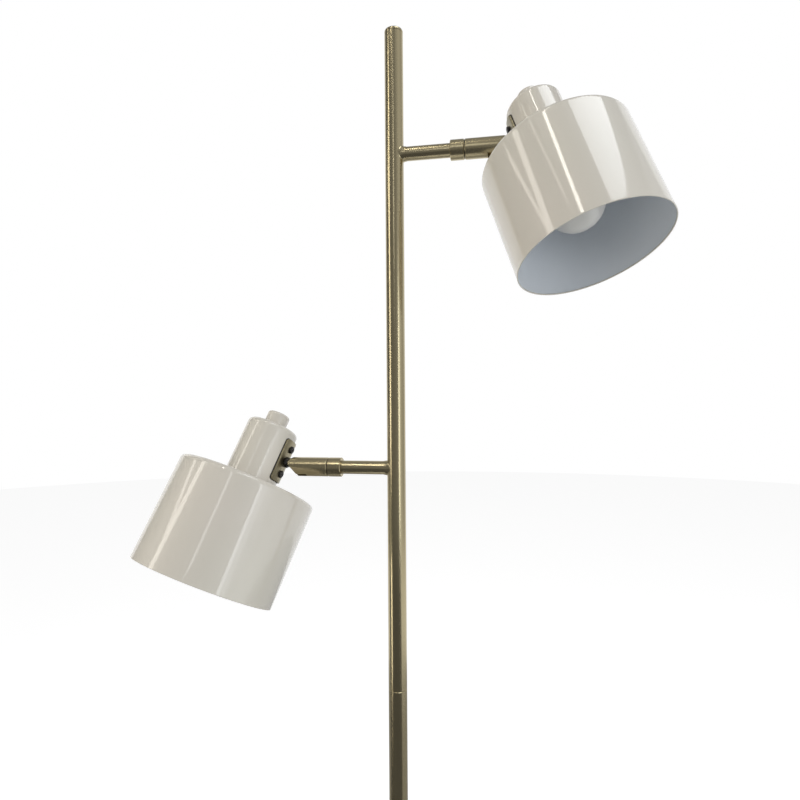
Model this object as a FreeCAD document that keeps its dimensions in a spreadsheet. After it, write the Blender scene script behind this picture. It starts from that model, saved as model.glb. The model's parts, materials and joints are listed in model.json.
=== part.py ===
import FreeCAD, Part
import math
import os
import Sketcher
from FreeCAD import Placement, Rotation, Vector

# Floor lamp: a round weighted base, a jointed brass pole and two spot heads, each on a short
# arm that swivels and tilts.  Millimetres, +Z up.  The origin is the centre of the felt pad's
# underside, on the floor.  The upper arm points along +X and the lower arm along -X.

# ---------------------------------------------------------------------------------------------
# Driving dimensions
# ---------------------------------------------------------------------------------------------

DIMENSIONS = {
    # radial gaps: a thread, a turned fit and a loose sleeve; then the gap between two faces
    "thread_gap": 0.03,
    "hole_gap": 0.05,
    "slip_gap": 0.1,
    "face_gap": 0.05,
    # how far a cutting shape runs past the piece that it cuts
    "overrun": 2.0,
    # base
    "felt_radius": 128.0,
    "felt_thick": 2.0,
    "cover_radius": 130.0,
    "cover_top": 20.0,
    "cover_wall": 1.2,
    "cover_round": 6.0,
    "iron_radius": 122.0,
    "iron_recess_radius": 14.0,
    "iron_recess_top": 11.0,
    "channel_width": 7.0,
    "channel_top": 9.5,
    "gland_height": 9.0,
    "gland_bore_radius": 3.1,
    "gland_neck_radius": 4.8,
    "gland_flange_radius": 6.3,
    "gland_flange_thick": 3.0,
    "gland_lip_radius": 5.6,
    "gland_lip_thick": 1.5,
    "gland_lip_gap": 0.2,
    "gland_round": 0.9,
    "foot_collar_radius": 16.0,
    "foot_collar_seat": 22.0,
    "foot_collar_top": 30.0,
    "foot_collar_rim": 2.0,
    "foot_collar_round": 0.7,
    "stud_radius": 5.0,
    "stud_bore_radius": 3.2,
    "stud_bottom": 3.5,
    "plug_top": 60.0,
    "foot_nut_flats": 17.0,
    "foot_nut_thick": 6.5,
    # pole
    "pole_radius": 9.5,
    "pole_wall": 1.2,
    "pole_top": 1520.0,
    "first_joint": 430.0,
    "second_joint": 845.0,
    "tube_end_bevel": 0.4,
    "coupler_wall": 1.2,
    "coupler_length": 60.0,
    "cap_head": 3.5,
    "cap_round": 2.6,
    "cap_spigot": 10.0,
    # arms
    "upper_arm_height": 1392.0,
    "arm_spacing": 321.0,
    "arm_radius": 7.0,
    "arm_bore_radius": 5.8,
    "root_radius": 5.0,
    "root_bore_radius": 3.0,
    "root_start": 0.8,
    "root_bore_end": 14.0,
    "anchor_length": 30.0,
    "anchor_channel_radius": 2.8,
    "anchor_channel_offset": 4.6,
    "saddle_radius": 8.3,
    "saddle_end": 12.3,
    "collar_radius": 10.0,
    "collar_start": 57.6,
    "collar_end": 71.7,
    "collar_socket": 5.0,
    "edge_bevel": 0.6,
    "spindle_radius": 4.0,
    "spindle_bore_radius": 2.2,
    "spindle_end": 86.0,
    "ring_radius": 9.1,
    "ring_thick": 0.5,
    "spindle_nut_flats": 11.0,
    "spindle_nut_thick": 4.0,
    "spindle_nut_gap": 0.3,
    # knuckle
    "knuckle_start": 72.3,
    "knuckle_wall": 7.7,
    "knuckle_cavity_radius": 6.8,
    "knuckle_corner": 110.0,
    "nose_end": 114.3,
    "nose_high": 3.0,
    "nose_low": 0.5,
    "under_bevel_start": 105.0,
    "slot_start": 95.0,
    "slot_width": 7.0,
    "pivot_reach": 105.1,
    "pin_radius": 2.5,
    "pin_depth": 8.0,
    "pin_head_radius": 4.4,
    "pin_head_start": 6.3,
    "pin_head_end": 8.3,
    "pin_drive_width": 1.1,
    "pin_drive_depth": 1.0,
    "friction_ring_radius": 5.4,
    "friction_ring_thick": 0.5,
    # hinge tongue and the curved plate on the neck
    "tongue_thick": 5.6,
    "tongue_eye_radius": 5.4,
    "tongue_bar_height": 7.5,
    "tongue_shoulder": 11.4,
    "shank_radius": 3.0,
    "shank_end": 25.0,
    "hinge_nut_flats": 10.0,
    "hinge_nut_thick": 4.0,
    "neck_nut_gap": 1.2,
    "plate_radius": 30.1,
    "plate_thick": 1.6,
    "plate_width": 23.0,
    "plate_height": 46.0,
    "plate_corner": 3.0,
    "gasket_thick": 0.4,
    "gasket_margin": 0.5,
    "screw_spacing": 28.0,
    "screw_radius": 2.0,
    "screw_head_radius": 3.9,
    "screw_head_thick": 2.3,
    "screw_head_round": 1.2,
    "screw_length": 9.0,
    "screw_recess_width": 1.0,
    "screw_recess_length": 4.6,
    "screw_recess_depth": 1.3,
    # head
    "neck_offset": 46.0,
    "shade_drop": 32.0,
    "neck_radius": 28.0,
    "neck_height": 64.7,
    "sheet": 0.8,
    "neck_round": 4.5,
    "shade_radius": 74.0,
    "shade_length": 110.7,
    "shade_round": 4.5,
    "hem_width": 1.1,
    "hem_height": 1.2,
    "hem_slope": 0.5,
    "hem_round": 0.4,
    "holder_hole_radius": 20.0,
    "holder_radius": 19.6,
    "holder_bottom": 10.0,
    "holder_top": 30.0,
    "holder_flange_radius": 25.0,
    "holder_flange_thick": 2.4,
    "holder_bore_radius": 14.3,
    "holder_bore_top": 24.0,
    "holder_lead_radius": 3.0,
    "holder_top_round": 2.0,
    "holder_rim_round": 0.8,
    "shade_ring_radius": 26.0,
    "shade_ring_thick": 6.0,
    "shade_ring_round": 1.0,
    "sleeve_radius": 14.2,
    "sleeve_wall": 0.6,
    "sleeve_bottom": 8.0,
    "sleeve_top": 19.0,
    "contact_radius": 5.0,
    "contact_thick": 1.2,
    "bulb_radius": 29.0,
    "bulb_centre": 55.0,
    "bulb_glass_wall": 1.0,
    "bulb_neck_radius": 13.2,
    "bulb_neck_start": 4.0,
    "bulb_neck_end": 11.0,
    "bulb_shoulder_radius": 24.6,
    "cap_shell_radius": 13.2,
    "cap_shell_top": 16.0,
    "cap_tip_radius": 4.8,
    "cap_tip_top": 22.0,
    "cap_tip_height": 1.5,
    "switch_radius": 9.0,
    "switch_height": 16.0,
    "bush_radius": 5.0,
    "bush_height": 3.0,
    "stem_radius": 3.0,
    "stem_length": 10.5,
    "stem_end_gap": 0.5,
    "knob_radius": 12.3,
    "knob_height": 14.8,
    "knob_round": 2.4,
    "knob_rim_round": 0.5,
    "knob_lift": 0.4,
    "knob_recess_radius": 9.0,
    "knob_recess": 4.5,
    # rest pose of the two heads, in degrees
    "upper_swivel": -16.4,
    "lower_swivel": 22.3,
    "upper_tilt": 17.8,
    "lower_tilt": 17.2,
}

doc = FreeCAD.newDocument("floor_lamp")
sheet = doc.addObject("Spreadsheet::Sheet", "Sizes")
for row, (alias, number) in enumerate(DIMENSIONS.items(), start=1):
    sheet.set(f"A{row}", alias)
    sheet.set(f"B{row}", str(number))
    sheet.setAlias(f"B{row}", alias)
doc.recompute()


class Size:
    """A length with its value now and the sheet expression that keeps it up to date."""

    def __init__(self, value, text):
        self.value = value
        self.text = text

    @staticmethod
    def of(other):
        return other if isinstance(other, Size) else Size(float(other), str(other))

    def joined(self, other, sign, value):
        return Size(value, f"({self.text} {sign} {other.text})")

    def __add__(self, other):
        other = Size.of(other)
        return self.joined(other, "+", self.value + other.value)

    def __sub__(self, other):
        other = Size.of(other)
        return self.joined(other, "-", self.value - other.value)

    def __mul__(self, other):
        other = Size.of(other)
        return self.joined(other, "*", self.value * other.value)

    def __truediv__(self, other):
        other = Size.of(other)
        return self.joined(other, "/", self.value / other.value)

    def __neg__(self):
        return Size(-self.value, f"(0 - {self.text})")


class Sheet:
    """Reads a size from the sheet by its alias: size.pole_radius."""

    def __getattr__(self, alias):
        return Size(float(sheet.get(alias)), f"Sizes.{alias}")


size = Sheet()
sub_parts = []

# ---------------------------------------------------------------------------------------------
# Ways of making a piece
# ---------------------------------------------------------------------------------------------

TOLERANCE = 0.01
IN_PLACE = Placement()
ALONG_X = Rotation(Vector(0, 1, 0), 90)
ALONG_Y = Rotation(Vector(1, 0, 0), -90)


def shifted(x=0.0, y=0.0, z=0.0, rotation=None):
    """A placement from numbers or sizes."""
    base = Vector(*(Size.of(value).value for value in (x, y, z)))
    return Placement(base, rotation or Rotation())


def bind(item, name, length):
    """Sets a property from a size and ties it to the sheet."""
    length = Size.of(length)
    setattr(item, name, length.value)
    item.setExpression(name, length.text)


def keep(item, label, place=IN_PLACE):
    """Names a finished sub-part, puts it in place and lists it."""
    item.Label = label
    item.Placement = place
    sub_parts.append(item)


def origin_plane(body, role):
    return next(item for item in body.Origin.OriginFeatures if item.Role == role)


def new_sketch(body, role, offset=0.0):
    """A sketch on one of the body's own planes, moved along that plane's normal."""
    sketch = body.newObject("Sketcher::SketchObject", "Sketch")
    sketch.AttachmentSupport = [(origin_plane(body, role), "")]
    sketch.MapMode = "FlatFace"
    offset = Size.of(offset)
    sketch.AttachmentOffset = Placement(Vector(0, 0, offset.value), Rotation())
    sketch.setExpression("AttachmentOffset.Base.z", offset.text)
    return sketch


def pin_point(sketch, line, end, across, up):
    """Holds one end of a sketch line at its two distances from the sketch's origin."""
    for kind, axis, length in (("DistanceX", -2, across), ("DistanceY", -1, up)):
        if length.text in ("0", "0.0"):
            sketch.addConstraint(Sketcher.Constraint("PointOnObject", line, end, axis))
            continue
        index = sketch.addConstraint(
            Sketcher.Constraint(kind, -1, 1, line, end, length.value))
        sketch.setExpression(f"Constraints[{index}]", length.text)


def draw_outline(sketch, points):
    """A closed outline.  A third entry in a point makes the side towards it an arc of that
    radius, which bulges to the left of its direction for a positive radius."""
    corners = []
    for point in points:
        across, up = Size.of(point[0]), Size.of(point[1])
        corners.append((across, up, Vector(across.value, up.value, 0)))
    count = len(corners)
    for index, point in enumerate(points):
        start, end = corners[index - 1][2], corners[index][2]
        if len(point) < 3:
            sketch.addGeometry(Part.LineSegment(start, end))
            continue
        radius = abs(point[2].value)
        chord = end - start
        left = Vector(-chord.y, chord.x, 0).normalize() * math.copysign(1, point[2].value)
        rise = radius - math.sqrt(radius ** 2 - chord.Length ** 2 / 4)
        middle = (start + end) / 2 + left * rise
        # A sketch numbers an arc's ends anticlockwise.
        first, last = (end, start) if point[2].value > 0 else (start, end)
        sketch.addGeometry(Part.Arc(first, middle, last))
    for index in range(count):
        following = (index + 1) % count
        ends = []
        for item, first in ((index, False), (following, True)):
            edge = sketch.Geometry[item]
            target = corners[index][2]
            begins = (edge.StartPoint - target).Length < (edge.EndPoint - target).Length
            ends.append((item, 1 if begins else 2))
        sketch.addConstraint(Sketcher.Constraint("Coincident", *ends[0], *ends[1]))
        pin_point(sketch, *ends[0], corners[index][0], corners[index][1])
    for index, point in enumerate(points):
        if len(point) == 3:
            radius = point[2] if point[2].value > 0 else -point[2]
            held = sketch.addConstraint(Sketcher.Constraint("Radius", index, radius.value))
            sketch.setExpression(f"Constraints[{held}]", radius.text)


def draw_circle(sketch, across, up, radius):
    across, up, radius = Size.of(across), Size.of(up), Size.of(radius)
    centre = Vector(across.value, up.value, 0)
    circle = sketch.addGeometry(Part.Circle(centre, Vector(0, 0, 1), radius.value))
    pin_point(sketch, circle, 3, across, up)
    held = sketch.addConstraint(Sketcher.Constraint("Radius", circle, radius.value))
    sketch.setExpression(f"Constraints[{held}]", radius.text)


def new_body():
    return doc.addObject("PartDesign::Body", "Body")


def revolve(body, points):
    """A full turn of an outline of (radius, height) points about the body's Z axis."""
    sketch = new_sketch(body, "XZ_Plane")
    draw_outline(sketch, points)
    turn = body.newObject("PartDesign::Revolution", "Revolution")
    turn.Profile = sketch
    turn.ReferenceAxis = (sketch, ["V_Axis"])
    turn.Angle = 360
    doc.recompute()
    return turn


def extrude(body, kind, sketch, length):
    """A pad or a pocket that reaches half its length to each side of its sketch."""
    feature = body.newObject(f"PartDesign::{kind}", kind)
    feature.Profile = sketch
    feature.Midplane = True
    bind(feature, "Length", length)
    doc.recompute()
    return feature


def removes(body, feature):
    """Checks that a cut has taken material away."""
    before = feature.BaseFeature.Shape.Volume
    if body.Shape.Volume > before - TOLERANCE:
        raise RuntimeError(f"{feature.Label} cuts nothing")


def cut_outline(body, role, points, length, offset=0.0):
    sketch = new_sketch(body, role, offset)
    draw_outline(sketch, points)
    removes(body, extrude(body, "Pocket", sketch, length))


def cut_circle(body, role, across, up, radius, length, offset=0.0):
    sketch = new_sketch(body, role, offset)
    draw_circle(sketch, across, up, radius)
    removes(body, extrude(body, "Pocket", sketch, length))


def rings_at(shape, places, along):
    """Names of the full-circle edges at (radius, height) places along one axis."""
    names = []
    for radius, height in places:
        radius, height = Size.of(radius).value, Size.of(height).value
        for number, edge in enumerate(shape.Edges, start=1):
            curve = edge.Curve
            if not isinstance(curve, Part.Circle) or not edge.Closed:
                continue
            distance = abs(getattr(curve.Center, along) - height)
            if abs(curve.Radius - radius) < TOLERANCE and distance < TOLERANCE:
                names.append(f"Edge{number}")
    if len(names) != len(places):
        raise RuntimeError(f"found {len(names)} of {len(places)} rings")
    return names


def soften(body, kind, places, amount, along="z"):
    """Rounds (Fillet) or bevels (Chamfer) the rings at the places given."""
    base = body.Tip
    feature = body.newObject(f"PartDesign::{kind}", kind)
    feature.Base = (base, rings_at(base.Shape, places, along))
    bind(feature, "Radius" if kind == "Fillet" else "Size", amount)
    doc.recompute()


def turned_body(points, rounds=(), bevels=()):
    """A turned piece: a revolved outline, its rounded rings and its bevelled rings."""
    body = new_body()
    revolve(body, points)
    for kind, groups in (("Fillet", rounds), ("Chamfer", bevels)):
        for amount, places in groups:
            soften(body, kind, places, amount)
    return body


def turned(label, points, place=IN_PLACE, rounds=(), bevels=()):
    """A turned piece that is a sub-part of its own."""
    keep(turned_body(points, rounds, bevels), label, place)


def tube(inner, outer, low, high):
    """Outline of a plain ring or tube."""
    return [(inner, low), (outer, low), (outer, high), (inner, high)]


def rod(radius, height, place=IN_PLACE):
    item = doc.addObject("Part::Cylinder", "Rod")
    bind(item, "Radius", radius)
    bind(item, "Height", height)
    item.Placement = place
    return item


def block(length, width, height, place=IN_PLACE):
    """A box centred on its own frame."""
    item = doc.addObject("Part::Box", "Block")
    for name, value in (("Length", length), ("Width", width), ("Height", height)):
        bind(item, name, value)
    middle = Vector(-item.Length.Value / 2, -item.Width.Value / 2, -item.Height.Value / 2)
    item.Placement = place * Placement(middle, Rotation())
    return item


def hexagon(flats, height, place=IN_PLACE):
    item = doc.addObject("Part::Prism", "Hexagon")
    item.Polygon = 6
    bind(item, "Circumradius", Size.of(flats) / math.sqrt(3))
    bind(item, "Height", height)
    item.Placement = place
    return item


def minus(base, *tools):
    for tool in tools:
        result = doc.addObject("Part::Cut", "Cut")
        result.Base = base
        result.Tool = tool
        base = result
    doc.recompute()
    return base


def nut(flats, thick, thread_radius, place=IN_PLACE):
    """A hexagon nut that stands on its own frame's XY plane."""
    return minus(hexagon(flats, thick, place),
                 rod(thread_radius + size.thread_gap, thick * 2, place * shifted(z=-thick / 2)))


def plus(*items):
    result = doc.addObject("Part::MultiFuse", "Fusion")
    result.Shapes = list(items)
    doc.recompute()
    return result


def together(*items):
    """Separate solids that share one node."""
    result = doc.addObject("Part::Compound", "Group")
    result.Links = list(items)
    doc.recompute()
    return result


# ---------------------------------------------------------------------------------------------
# Base
# ---------------------------------------------------------------------------------------------

def make_base():
    turned("base_felt_pad", tube(0, size.felt_radius, 0, size.felt_thick))

    # A cast disc fills the cover.  Its underside has a recess for the nut and a channel that
    # leads the supply cord to the back.
    iron_top = size.cover_top - size.cover_wall
    stud_hole = size.stud_radius + size.slip_gap
    iron = new_body()
    revolve(iron, [
        (stud_hole, size.iron_recess_top),
        (size.iron_recess_radius, size.iron_recess_top),
        (size.iron_recess_radius, size.felt_thick),
        (size.iron_radius, size.felt_thick),
        (size.iron_radius, iron_top),
        (stud_hole, iron_top),
    ])
    half = size.channel_width / 2
    channel_start = size.iron_recess_radius - size.overrun
    channel_end = size.iron_radius + size.overrun
    cut_outline(iron, "XZ_Plane", [
        (-half, size.felt_thick),
        (half, size.felt_thick),
        (half, size.channel_top),
        (-half, size.channel_top),
    ], channel_end - channel_start, offset=-(channel_start + channel_end) / 2)
    keep(iron, "base_weight")

    # The cover is a spun dish with a rounded rim.
    cover = new_body()
    inner = size.cover_radius - size.cover_wall
    revolve(cover, [
        (stud_hole, iron_top),
        (inner, iron_top),
        (inner, size.felt_thick),
        (size.cover_radius, size.felt_thick),
        (size.cover_radius, size.cover_top),
        (stud_hole, size.cover_top),
    ])
    soften(cover, "Fillet", [(size.cover_radius, size.cover_top)], size.cover_round)
    soften(cover, "Fillet", [(inner, iron_top)], size.cover_round - size.cover_wall)
    cut_circle(cover, "XZ_Plane", 0, size.gland_height, size.gland_neck_radius + size.hole_gap,
               size.cover_wall * 4, offset=-size.cover_radius)
    keep(cover, "base_cover")

    # The gland is turned along its own Z, which points backwards out of the base.
    wall_inside = size.cover_radius - size.cover_wall - size.gland_lip_gap
    lip_start = wall_inside - size.gland_lip_thick
    flange_end = size.cover_radius + size.gland_flange_thick
    turned("cord_gland", [
        (size.gland_bore_radius, lip_start),
        (size.gland_lip_radius, lip_start),
        (size.gland_lip_radius, wall_inside),
        (size.gland_neck_radius, wall_inside),
        (size.gland_neck_radius, size.cover_radius),
        (size.gland_flange_radius, size.cover_radius),
        (size.gland_flange_radius, flange_end),
        (size.gland_bore_radius, flange_end),
    ], shifted(z=size.gland_height, rotation=ALONG_Y),
        rounds=[(size.gland_round, [(size.gland_flange_radius, flange_end)])])

    # The pole's foot: a collar on the cover, a hollow stud with a plug up inside the pole, and
    # the nut that pulls it all down on the iron disc.
    pole_hole = size.pole_radius + size.hole_gap
    rim = size.pole_radius + size.foot_collar_rim
    turned("foot_collar", [
        (stud_hole, size.cover_top),
        (size.foot_collar_radius, size.cover_top),
        (size.foot_collar_radius, size.foot_collar_seat),
        (rim, size.foot_collar_top),
        (pole_hole, size.foot_collar_top),
        (pole_hole, size.foot_collar_seat),
        (stud_hole, size.foot_collar_seat),
    ], rounds=[(size.foot_collar_round, [(rim, size.foot_collar_top)])])
    plug = size.pole_radius - size.pole_wall - size.slip_gap
    turned("foot_stud", [
        (size.stud_bore_radius, size.stud_bottom),
        (size.stud_radius, size.stud_bottom),
        (size.stud_radius, size.foot_collar_seat),
        (plug, size.foot_collar_seat),
        (plug, size.plug_top),
        (size.stud_bore_radius, size.plug_top),
    ], bevels=[(size.edge_bevel, [(size.stud_radius, size.stud_bottom), (plug, size.plug_top)])])
    nut_bottom = size.iron_recess_top - size.foot_nut_thick
    keep(nut(size.foot_nut_flats, size.foot_nut_thick, size.stud_radius, shifted(z=nut_bottom)),
         "foot_nut")


# ---------------------------------------------------------------------------------------------
# Pole
# ---------------------------------------------------------------------------------------------

def make_pole():
    outer = size.pole_radius
    inner = outer - size.pole_wall
    tube_top = size.pole_top - size.cap_head
    sections = (
        ("pole_bottom_section", size.foot_collar_seat, size.first_joint),
        ("pole_middle_section", size.first_joint, size.second_joint),
        ("pole_top_section", size.second_joint, tube_top),
    )
    for label, low, high in sections:
        body = new_body()
        revolve(body, tube(inner, outer, low, high))
        soften(body, "Chamfer", [(outer, low), (outer, high)], size.tube_end_bevel)
        if label == "pole_top_section":
            # One side hole for each arm's root.
            for sign, height in ((1, size.upper_arm_height), (-1, lower_arm_height)):
                cut_circle(body, "YZ_Plane", 0, height, size.root_radius + size.slip_gap,
                           outer, offset=outer * sign)
        keep(body, label)

    sleeve = inner - size.slip_gap
    for label, joint in (("lower_coupler", size.first_joint), ("upper_coupler", size.second_joint)):
        half = size.coupler_length / 2
        turned(label, tube(sleeve - size.coupler_wall, sleeve, -half, half), shifted(z=joint))

    turned("pole_cap", [
        (0, tube_top - size.cap_spigot),
        (sleeve, tube_top - size.cap_spigot),
        (sleeve, tube_top),
        (outer, tube_top),
        (outer, size.pole_top),
        (0, size.pole_top),
    ], rounds=[(size.cap_round, [(outer, size.pole_top)])])


# ---------------------------------------------------------------------------------------------
# Arms: every piece is made along its own Z or X and then turned onto the arm's line
# ---------------------------------------------------------------------------------------------

def make_arm(side, arm):
    """The fixed part of one arm.  arm is its frame: X outwards from the pole's axis."""
    outwards = arm * Placement(Vector(), ALONG_X)
    inner = size.pole_radius - size.pole_wall
    around_pole = size.pole_radius + size.hole_gap

    # Inside the pole a plug takes the arm's root and leaves a channel for the lead.
    anchor = new_body()
    revolve(anchor, tube(0, inner - size.slip_gap, -size.anchor_length / 2, size.anchor_length / 2))
    cut_circle(anchor, "YZ_Plane", 0, 0, size.root_radius + size.hole_gap, inner * 2,
               offset=inner)
    cut_circle(anchor, "XY_Plane", -size.anchor_channel_offset, 0, size.anchor_channel_radius,
               size.anchor_length + size.overrun)
    keep(anchor, f"{side}_arm_anchor", arm)

    # The arm is one tube with a slimmer root that screws into the plug.
    shaft = minus(
        plus(
            rod(size.root_radius, size.saddle_end - size.root_start,
                shifted(x=size.root_start, rotation=ALONG_X)),
            minus(
                rod(size.arm_radius, size.collar_start + size.collar_socket,
                    shifted(rotation=ALONG_X)),
                rod(around_pole, size.arm_radius * 4, shifted(z=-size.arm_radius * 2)))),
        rod(size.root_bore_radius, size.root_bore_end, shifted(rotation=ALONG_X)),
        rod(size.arm_bore_radius, size.collar_end, shifted(x=size.root_bore_end, rotation=ALONG_X)))
    keep(shaft, f"{side}_arm_tube", arm)

    saddle = minus(
        rod(size.saddle_radius, size.saddle_end, shifted(rotation=ALONG_X)),
        rod(size.arm_radius + size.hole_gap, size.saddle_end + size.overrun,
            shifted(rotation=ALONG_X)),
        rod(around_pole, size.saddle_radius * 4, shifted(z=-size.saddle_radius * 2)))
    keep(saddle, f"{side}_arm_saddle", arm)

    # The end collar carries the hollow spindle that the knuckle turns on.
    web = size.collar_start + size.collar_socket
    turned(f"{side}_arm_collar", [
        (size.arm_radius + size.hole_gap, size.collar_start),
        (size.collar_radius, size.collar_start),
        (size.collar_radius, size.collar_end),
        (size.spindle_radius, size.collar_end),
        (size.spindle_radius, size.spindle_end),
        (size.spindle_bore_radius, size.spindle_end),
        (size.spindle_bore_radius, web),
        (size.arm_radius + size.hole_gap, web),
    ], outwards, bevels=[(size.edge_bevel, [
        (size.collar_radius, size.collar_start), (size.collar_radius, size.collar_end)])])

    ring_low = (size.collar_end + size.knuckle_start - size.ring_thick) / 2
    turned(f"{side}_swivel_ring",
           tube(size.spindle_radius + size.slip_gap, size.ring_radius,
                ring_low, ring_low + size.ring_thick),
           outwards)

    nut_low = size.knuckle_start + size.knuckle_wall + size.spindle_nut_gap
    spindle_nut = nut(size.spindle_nut_flats, size.spindle_nut_thick, size.spindle_radius)
    keep(spindle_nut, f"{side}_spindle_nut", outwards * shifted(z=nut_low))


# ---------------------------------------------------------------------------------------------
# Knuckle: turns about the arm and carries the tilt screw
# ---------------------------------------------------------------------------------------------

def make_knuckle(side, frame, screw_side):
    """frame has X along the arm.  screw_side is 1 or -1: the cheek that takes the screw's head."""
    radius = size.collar_radius
    reach = radius + size.overrun
    slot_end = size.nose_end + size.overrun
    cavity_start = size.knuckle_start + size.knuckle_wall
    cavity_end = size.slot_start + size.overrun

    # A round bar from the swivel joint to the nose, bored for the spindle and its nut.
    body = new_body()
    length = size.nose_end - size.knuckle_start
    bar = new_sketch(body, "YZ_Plane", size.knuckle_start + length / 2)
    draw_circle(bar, 0, 0, radius)
    extrude(body, "Pad", bar, length)
    soften(body, "Chamfer", [(radius, size.knuckle_start)], size.edge_bevel, along="x")
    cut_circle(body, "YZ_Plane", 0, 0, size.spindle_radius + size.hole_gap,
               size.knuckle_wall * 4, offset=size.knuckle_start)
    cut_circle(body, "YZ_Plane", 0, 0, size.knuckle_cavity_radius, cavity_end - cavity_start,
               offset=(cavity_start + cavity_end) / 2)
    # Slot for the tongue, open at the nose, above and below.
    cut_outline(body, "XZ_Plane", [
        (size.slot_start, -reach), (slot_end, -reach), (slot_end, reach), (size.slot_start, reach),
    ], size.slot_width)
    # The nose is cut steeply above and at 45 degrees below.
    cut_outline(body, "XZ_Plane", [
        (size.knuckle_corner, radius), (size.nose_end, size.nose_high), (slot_end, size.nose_high),
        (slot_end, reach), (size.knuckle_corner, reach),
    ], reach * 2)
    cut_outline(body, "XZ_Plane", [
        (size.nose_end, -size.nose_low), (size.under_bevel_start, -radius),
        (size.under_bevel_start, -reach), (slot_end, -reach), (slot_end, -size.nose_low),
    ], reach * 2)
    # Blind hole for the tilt screw, and the recess of its head.
    cut_circle(body, "XZ_Plane", size.pivot_reach, 0, size.pin_radius + size.thread_gap,
               size.pin_depth + reach, offset=(size.pin_depth - reach) / 2 * screw_side)
    recess_floor = size.pin_head_start - size.face_gap
    cut_circle(body, "XZ_Plane", size.pivot_reach, 0, size.pin_head_radius + size.hole_gap,
               reach - recess_floor, offset=-(reach + recess_floor) / 2 * screw_side)
    keep(body, f"{side}_knuckle", frame)

    # Tilt screw, made along Z with its head at the top, then laid across the slot.
    across = frame * shifted(x=size.pivot_reach,
                             rotation=Rotation(Vector(1, 0, 0), -90 * screw_side))
    tip = size.slip_gap - size.pin_depth
    screw = minus(
        plus(
            rod(size.pin_radius, size.pin_head_end - tip, shifted(z=tip)),
            rod(size.pin_head_radius, size.pin_head_end - size.pin_head_start,
                shifted(z=size.pin_head_start))),
        block(size.pin_head_radius * 3, size.pin_drive_width, size.pin_drive_depth * 2,
              shifted(z=size.pin_head_end)))
    keep(screw, f"{side}_tilt_screw", across)

    # One thin friction ring on each side of the tongue.
    gap_middle = (size.tongue_thick + size.slot_width) / 4
    rings = []
    for sign in (-1, 1):
        low = gap_middle * sign - size.friction_ring_thick / 2
        rings.append(minus(
            rod(size.friction_ring_radius, size.friction_ring_thick, shifted(z=low)),
            rod(size.pin_radius + size.hole_gap, size.slot_width,
                shifted(z=low - size.slot_width / 2))))
    keep(together(*rings), f"{side}_friction_rings", across)


# ---------------------------------------------------------------------------------------------
# Hinge: tongue, nuts, curved plate, gasket and screws, in the tilt pivot's own frame
# ---------------------------------------------------------------------------------------------

def make_hinge(side, pivot):
    """pivot has its origin on the tilt axis, X towards the neck and Z along the head."""
    body = new_body()
    eye = new_sketch(body, "XZ_Plane")
    draw_circle(eye, 0, 0, size.tongue_eye_radius)
    extrude(body, "Pad", eye, size.tongue_thick)
    bar = new_sketch(body, "XZ_Plane")
    half = size.tongue_bar_height / 2
    draw_outline(bar, [
        (0, -half), (size.tongue_shoulder, -half), (size.tongue_shoulder, half), (0, half)])
    extrude(body, "Pad", bar, size.tongue_thick)
    shank_length = size.shank_end - size.tongue_shoulder
    shank = new_sketch(body, "YZ_Plane", size.tongue_shoulder + shank_length / 2)
    draw_circle(shank, 0, 0, size.shank_radius)
    extrude(body, "Pad", shank, shank_length)
    cut_circle(body, "XZ_Plane", 0, 0, size.pin_radius + size.hole_gap,
               size.tongue_thick + size.overrun)
    keep(body, f"{side}_tongue", pivot)

    # One nut before the curved plate and one behind the neck's wall.
    plate_face = size.neck_offset - size.plate_radius
    neck_wall = size.neck_offset - size.neck_radius + size.sheet
    nuts = []
    for low in (plate_face - size.hinge_nut_thick - size.face_gap, neck_wall + size.neck_nut_gap):
        nuts.append(nut(size.hinge_nut_flats, size.hinge_nut_thick, size.shank_radius,
                        shifted(x=low, rotation=ALONG_X)))
    keep(together(*nuts), f"{side}_hinge_nuts", pivot)

    keep(curved_sheet(size.plate_radius, size.plate_thick, Size.of(0)), f"{side}_plate", pivot)
    keep(curved_sheet(size.neck_radius + size.gasket_thick + size.face_gap, size.gasket_thick,
                      size.gasket_margin), f"{side}_gasket", pivot)

    screws = []
    for up in (-1, 1):
        place = shifted(x=plate_face, z=size.screw_spacing / 2 * up, rotation=ALONG_X)
        screws.append(cross_screw(place))
    keep(together(*screws), f"{side}_plate_screws", pivot)


def curved_sheet(outer, thick, margin):
    """A piece of tube wall about the neck's axis, with rounded corners and three holes."""
    reach = size.neck_offset
    wall = minus(
        rod(outer, size.plate_height * 2, shifted(x=reach, z=-size.plate_height)),
        rod(outer - thick, size.plate_height * 3, shifted(x=reach, z=-size.plate_height * 1.5)))
    width = size.plate_width + margin * 2
    height = size.plate_height + margin * 2
    corner = size.plate_corner + margin
    corners = [
        rod(corner, reach, shifted(y=(width / 2 - corner) * across, z=(height / 2 - corner) * up,
                                   rotation=ALONG_X))
        for across in (-1, 1) for up in (-1, 1)]
    window = plus(
        block(reach * 2, width - corner * 2, height),
        block(reach * 2, width, height - corner * 2),
        *corners)
    piece = doc.addObject("Part::Common", "Common")
    piece.Base = wall
    piece.Tool = window
    doc.recompute()
    holes = [rod(size.shank_radius + size.slip_gap, reach, shifted(rotation=ALONG_X))]
    for up in (-1, 1):
        holes.append(rod(size.screw_radius + size.slip_gap, reach,
                         shifted(z=size.screw_spacing / 2 * up, rotation=ALONG_X)))
    return minus(piece, *holes)


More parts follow.
